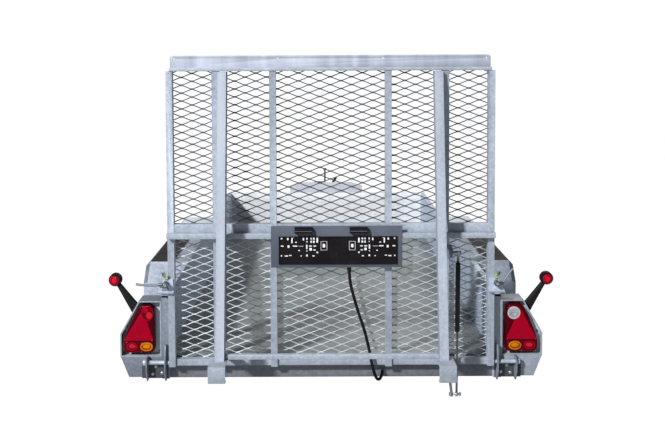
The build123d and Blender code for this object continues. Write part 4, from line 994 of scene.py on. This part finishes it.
# node: finish, width of its rounded edges in millimetres, zones with another finish
GUARD = (ZINC_BOX, 1.5, (faces_rear, ZINC_RAMP), (faces_up, GUARD_TOP))
STEEL = {
    "ramp_frame": (ZINC_RAMP, 1.8, (on_tip_plate, ZINC_TIP), (on_bottom_rail, ZINC_BEAM)),
    # the beams' upward faces, the foot's top fold among them, take the brighter tip zinc as a painted
    # highlight
    "ramp_beams": (ZINC_BEAM, 2.5, (faces_up, ZINC_TIP)),
    "ramp_brace": (ZINC_RAMP, 2.0),
    "strut_mount": (ZINC_BOX, 1.0),
    "front_wall": (ZINC_FRONT, 1.2),
    "bucket_rest": (ZINC_REST, 1.5),
    "side_wall_left": (ZINC_WALL, 1.2, (faces_rear, ZINC_BOX)),
    "side_wall_right": (ZINC_WALL, 1.2, (faces_rear, ZINC_RAMP)),
    # the left box and the right box's top take the darker sheet zinc, the rest of the right box the beam
    # zinc: painted shade on the left box and the right box's top
    "lamp_box_left": (ZINC_BOX, 1.2),
    "lamp_box_right": (ZINC_BEAM, 1.2, (faces_up, ZINC_BOX)),
    "rear_cross_member": (ZINC_DARK, 2.0),
    "cross_members": (ZINC_DARK, 2.0),
    "side_rails": (ZINC_DARK, 2.0),
    "axle_tubes": (ZINC_DARK, 4.0),
    "swing_arms": (ZINC_DARK, 1.5),
    "drawbar_rails": (ZINC_BED, 3.0),
    "hinge_brackets": (ZINC_BOX, 0.8, (on_hinge_plate, ZINC_PLATE)),
    "strut_arm": (ZINC_DARK, 1.0),
    "bed_floor": (ZINC_FLOOR, 1.0),
    "mudguard_left": GUARD,
    "mudguard_right": GUARD,
}
for node, (finish, edge, *zones) in STEEL.items():
    softened(node, finish, edge * MM, zones)
for node in ("brake_linkage", "jockey_clamp", "jockey_fork", "jockey_inner_tube", "jockey_outer_tube"):
    softened(node, BOLT_ZINC, 0.8 * MM)
softened("overrun_unit", BLACK_PAINT, 1.6 * MM)
softened("coupling_head", HEAD_PAINT, 1.2 * MM, sharp=50)
softened("strut_cylinder", BLACK_PAINT, 0.6 * MM, [(on_upper_eye, BOLT_ZINC)])
softened("strut_rod", ROD_CHROME, 0.5 * MM, [(on_lower_eye, BOLT_ZINC)])


# ---------------- small steel on the ramp and hinge
tip_half = mesh_high[0] - 12 * MM
tip_lip = slab((-tip_half, load_y - 44 * MM, tip_foot), (tip_half, load_y - 41 * MM, tip_foot + 5 * MM))
make_piece("tip_plate_lip", [(tip_lip, ZINC_RIM)], "ramp", bevel=0.8 * MM)

hinge_bolts = [bolt((bed_half + x * MM, hinge_rear - 6 * MM, hinge_z + z * MM), "y", 7 * MM, -1)
               for x, z in ((62, -24), (78, -60), (34, -56))]
make_piece("hinge_bolts", [(both(*hinge_bolts), BOLT_ZINC)], "chassis")

post_rear = node_box("side_wall_right")[0][1]
# black strips on the side walls' rear faces, in place of slots there: painted shade
post_slot = slab((bed_half + 5 * MM, post_rear - 0.6 * MM, hinge_z + 296 * MM),
                 (bed_half + 34 * MM, post_rear + 1 * MM, hinge_z + 305 * MM))
make_piece("post_slots", [(both(post_slot), BLACK_PLASTIC)], "chassis")

# the pin that joins the strut's lower eye to its arm
eye_y, eye_z = rod_high[1] - 10 * MM, rod_low[2] + 10 * MM
pin_head = bolt((arm_low[0], eye_y, eye_z), "x", 9.5 * MM, -1)
pin_nut = bolt((rod_high[0], eye_y, eye_z), "x", 8.5 * MM)
make_piece("strut_pin_head", [(pin_head, BOLT_ZINC)], "chassis")
make_piece("strut_pin_nut", [(pin_nut, BOLT_ZINC)], "strut_rod")


# ---------------- tyres
def rows_round(angles, rings, centre):
    """Rings of (distance along X, radius) at each angle about an axle, as closed columns."""
    x, radius = rings[..., 0], rings[..., 1]
    points = np.stack([x, radius * np.cos(angles)[:, None], radius * np.sin(angles)[:, None]], -1)
    return skin(points + np.asarray(centre, float), loop=True)


TREAD_PITCHES = 62


def tyre(centre, half, radius):
    """Tyre as a grid round its axle: sidewalls with raised rings, and a tread whose radius
    drops by the groove depth in four rings and in the gaps between the blocks. Its profile is
    drawn for a tyre 180 mm wide and is scaled to the width asked for."""
    scale = (MM * half / (90 * MM), MM)
    sidewall = np.array([(-59, 170), (-66, 168), (-71, 172), (-73, 180), (-72, 186), (-78, 196), (-83, 208),
                         (-85.4, 210), (-87, 222), (-87.4, 224), (-89.6, 240), (-89.4, 252), (-87.6, 254),
                         (-85.5, 266), (-81, 276)]) * scale
    inner = np.array([(50, 162), (-50, 162)]) * scale
    edges = np.array([-77, -62, -61, -46, -40, -39, -25, -20, -19, -6, -1])
    x = np.r_[edges, -edges[::-1]] * scale[0]
    crown = radius - 5.5 * MM * (x / half) ** 2 - 3 * MM * (abs(x) > 70 * MM)
    groove_bottoms = edges[[4, 7]]
    grooved = np.isin(x, np.r_[groove_bottoms, -groove_bottoms] * scale[0])
    # a pitch is a block for 0.70 of its length, then a gap with sloping walls
    angles = (np.arange(TREAD_PITCHES)[:, None] + (0.0, 0.70, 0.76, 0.94)).ravel() * TURN / TREAD_PITCHES
    gap = np.tile([0, 0, 1, 1], TREAD_PITCHES)[:, None]
    shoulder, rib = abs(x) > 0.46 * half, (abs(x) > 0.2 * half) & (abs(x) < 0.46 * half)
    depth = 7 * MM * np.maximum(grooved * 1.0, gap * (shoulder * 0.85 + rib * 0.35))
    tread = np.stack(np.broadcast_arrays(x, crown - depth), -1)

    def all_round(profile):
        """The profile once for each angle."""
        return np.broadcast_to(profile, (len(angles), *profile.shape))

    rings = [all_round(sidewall), tread, all_round(sidewall[::-1] * (-1, 1)), all_round(inner)]
    return rows_round(angles, np.concatenate(rings, axis=1), centre)


def round_shape(profile, centre, count=48, loop=False):
    """A shape turned about X, whose profile is in millimetres."""
    return turned(np.asarray(profile, float) * MM, centre, "x", count, loop)


RIM_PROFILE = [(-61, 179), (-64.5, 177), (-62, 172), (-56, 166), (-42, 164), (-34, 150), (-26, 143), (6, 143),
               (14, 152), (24, 164), (54, 166), (62, 172), (64.5, 177), (61, 179), (57, 175), (53, 169),
               (22, 167), (12, 155), (4, 146), (-24, 146), (-32, 153), (-40, 167), (-54, 169), (-58, 175)]


def wheel_disc(centre):
    """Dished disc between the hub and the rim, on a grid of angle and radius. Half of each
    eighth turn is open between the radii 107 and 122: a hand hole."""
    radii = np.array([30, 50, 66, 78, 92, 101, 107, 122, 128, 143.5])
    dish = np.array([18, 18, 19, 26, 33, 35, 35, 29, 24, 8])
    columns = 64
    angles = np.arange(columns + 1) * TURN / columns
    opened = np.zeros((columns, len(radii) - 1), bool)
    opened[:, 6] = np.arange(columns) % 8 < 4
    points, faces = pierced_sheet(angles, radii, opened, 1.0, 0.0)
    angle, front, radius = points.T
    x = np.interp(radius, radii, dish) - 5 * (1 - front)
    return np.c_[x, radius * np.cos(angle), radius * np.sin(angle)] * MM + centre, faces


DRUM_PROFILE = [(-79, 40), (-79, 112), (-77, 115), (-30, 115), (-25, 110), (-25, 60), (13, 58), (13, 30)]
HUB_CAP_PROFILE = [(12, 33), (22, 33), (26, 31), (46, 29), (55, 25), (60, 15), (61, 0.6)]


def wheel_parts(centre):
    """Pressed steel wheel whose outer side looks to +X, with its hub cap, five bolts, tyre valve
    and the brake drum behind it."""
    parts = [(round_shape(RIM_PROFILE, centre, count=72, loop=True), RIM_PAINT),
             (wheel_disc(centre), RIM_PAINT),
             (round_shape(DRUM_PROFILE, centre), ZINC_PLATE),
             (round_shape(HUB_CAP_PROFILE, centre), BLACK_PLASTIC)]
    for angle in np.arange(5) * TURN / 5 + 0.3:
        place = np.array((18, 56 * math.cos(angle), 56 * math.sin(angle))) * MM + centre
        parts.append((bolt(place, "x", 9.5 * MM), BOLT_ZINC))
    foot = np.array((33, 134, 0)) * MM + centre
    parts.append((pin(foot, foot + (22 * MM, -6 * MM, 0), 4 * MM, 12), BLACK_PLASTIC))
    return parts


for end in ("front", "rear"):
    for side in ("left", "right"):
        name = f"{end}_{side}"
        low, high = node_box("tyre_" + name)
        sign = 1 if side == "right" else -1
        centre = (low + high) / 2 * (sign, 1, 1)
        tread = [(tyre(centre, (high[0] - low[0]) / 2, (high[2] - low[2]) / 2), TYRE_RUBBER)]
        make_piece("tyre_" + name + "_tread", on_side(sign, tread), "wheel_" + name, ["tyre_" + name],
                   sharp=28)
        make_piece("wheel_" + name + "_rim", on_side(sign, wheel_parts(centre)), "wheel_" + name,
                   ["wheel_" + name], sharp=32)


# ---------------- jockey wheel, crank and brake lever
low, high = node_box("jockey_wheel")
centre = (low + high) / 2
BAND_HALF = [(14, 99.5), (24, 95), (27.5, 88), (27.5, 78), (24, 70), (18, 66)]
HUB_HALF = [(21, 72), (19, 64), (9, 60), (9, 27), (22, 25), (27, 22), (27, 12)]


def spoke(angle):
    """Flat spoke between the jockey wheel's hub and band, turned about its axle by the angle."""
    points, faces = slab((-20 * MM, -3 * MM, 24 * MM), (20 * MM, 3 * MM, 66 * MM))
    cosine, sine = math.cos(angle), math.sin(angle)
    return points @ np.array([(1, 0, 0), (0, cosine, sine), (0, -sine, cosine)]) + centre, faces


band = round_shape(even_profile(BAND_HALF), centre, count=56, loop=True)
hub = round_shape(even_profile(HUB_HALF), centre, count=56, loop=True)
spokes = [spoke(angle) for angle in np.arange(6) * TURN / 6]
make_piece("jockey_wheel_body", [(band, TYRE_RUBBER), (join(hub, *spokes), PANEL_PAINT)], "jockey_wheel",
           ["jockey_wheel"], sharp=35)

low, high = node_box("jockey_crank")
x, y = joint_place("jockey_swivel")[:2]
rod_x, arm_z, grip_z = high[0] - 20 * MM, low[2] + 8 * MM, high[2] - 8 * MM
crank = bent([(x, y, low[2] - 20 * MM), (x, y, arm_z), (rod_x, y, arm_z), (rod_x, y, grip_z)],
             7 * MM, 10 * MM, (0, 1, 0))
grip = carried(ring(8 * MM, 20), [(rod_x + i * 4 * MM, y, grip_z) for i in range(-4, 5)], (0, 0, 1),
               [0.6, 0.95, 1, 0.95, 0.93, 0.95, 1, 0.95, 0.6])
make_piece("jockey_crank_rod", [(crank, BLACK_PAINT), (grip, BLACK_PLASTIC)], "chassis", ["jockey_crank"])

pivot = joint_place("handbrake")
knee = pivot + np.array((-17, -24, 185)) * MM
tip = pivot + np.array((17, -30, 238)) * MM
lever = bent([pivot, knee, tip], 8 * MM, 20 * MM, (0, 1, 0))
share = np.linspace(0, 1, 33)
# the grip swells in nine waves, is rounded off at both ends and reaches just past the tip
swell = (11.2 + 0.6 * np.cos(share * 9 * TURN)) * np.sqrt(np.clip(1 - (2 * share - 1) ** 12, 0.05, 1)) * MM
grip = carried(ring(1.0, 20), knee + share[:, None] * (tip + (tip - knee) * 0.03 - knee), (0, 1, 0), swell)
boss = round_shape([(-32, 6), (-32, 7), (-12, 7), (-12, 19), (-10, 20), (4, 20), (6, 19), (6, 11), (12, 11),
                    (12, 6)], pivot, count=36)
make_piece("handbrake_lever_arm", [(lever, BLACK_PAINT), (grip, BLACK_PLASTIC), (boss, BOLT_ZINC)],
           "handbrake_lever", ["handbrake_lever"], sharp=30)


# ---------------- bellows and bolts
axis_z = node_box("overrun_unit")[1][2] - 38 * MM
head_rear = node_box("coupling_head")[0][1]
share = np.linspace(0, 1, 57)
folds = np.c_[head_rear - 104 * MM + share * 102 * MM, (36.3 + 3.2 * np.sin(share * 7 * TURN)) * MM]
inner = folds[[-1, 0]] * (1, 0) + (0, 30 * MM)
bellows = turned(np.vstack([folds, inner]), (0, 0, axis_z), "y", 40, loop=True)
make_piece("overrun_bellows", [(bellows, RUBBER)], "chassis", sharp=60)

guard_low, guard_high = node_box("mudguard_right")
rows = np.arange(guard_low[1] + 150 * MM, guard_high[1] - 140 * MM, 300 * MM)
guard_bolts = [bolt((bed_half + 15 * MM, y, guard_high[2]), "z", 6 * MM) for y in rows]
make_piece("guard_bolts", [(both(*guard_bolts), BOLT_ZINC)], "chassis")


# ---------------- floor and light
floor_mesh = bpy.data.meshes.new("studio_floor")
floor_mesh.from_pydata([(-40, -40, 0), (40, -40, 0), (40, 40, 0), (-40, 40, 0)], [], [(0, 1, 2, 3)])
floor = bpy.data.objects.new("studio_floor", floor_mesh)
bpy.context.scene.collection.objects.link(floor)
floor_finish = Finish("studio_floor", Roughness=0.9, Specular_IOR_Level=0.1)
black, white = (0.0, 0.0, 0.0), (1.0, 1.0, 1.0)
pale = floor_finish.blend(floor_finish.noise(0.6, 2.0), (0.42, 0.43, 0.44), (0.47, 0.48, 0.49))
# the floor is an even white when looked at and a pale sheet to everything else
looked_at = floor_finish.node("LightPath")
floor_finish.set(Base_Color=floor_finish.blend(looked_at, pale, black),
                 Emission_Color=floor_finish.blend(looked_at, black, white), Emission_Strength=1.0)
floor_mesh.materials.append(floor_finish.material)

# the sky gives little light, but looks white
world = bpy.data.worlds.new("studio")
world.use_nodes = True
sky = world.node_tree.nodes["Background"]
seen = world.node_tree.nodes.new("ShaderNodeLightPath")
brightness = world.node_tree.nodes.new("ShaderNodeMapRange")
brightness.inputs["To Min"].default_value = 0.15
brightness.inputs["To Max"].default_value = 1.05
world.node_tree.links.new(seen.outputs["Is Camera Ray"], brightness.inputs["Value"])
world.node_tree.links.new(brightness.outputs["Result"], sky.inputs["Strength"])
sky.inputs["Color"].default_value = (0.96, 0.98, 1.0, 1)
bpy.context.scene.world = world
bpy.context.scene.view_settings.view_transform = "Standard"


def studio_lamp(name, place, target, width, height, power):
    """A soft rectangular lamp that faces a point."""
    lamp = bpy.data.lights.new(name, "AREA")
    lamp.shape = "RECTANGLE"
    lamp.size, lamp.size_y, lamp.energy = width, height, power
    holder = bpy.data.objects.new(name, lamp)
    holder.location = place
    way = Vector(target) - Vector(place)
    holder.rotation_euler = way.to_track_quat("-Z", "Y").to_euler()
    bpy.context.scene.collection.objects.link(holder)


studio_lamp("key", (-11.7, -17.1, 12.7), (0, -1.5, 0.8), 1.6, 1.6, 8000)
studio_lamp("back", (3.0, 7.0, 5.0), (0, 0, 0.5), 5.0, 3.0, 230)
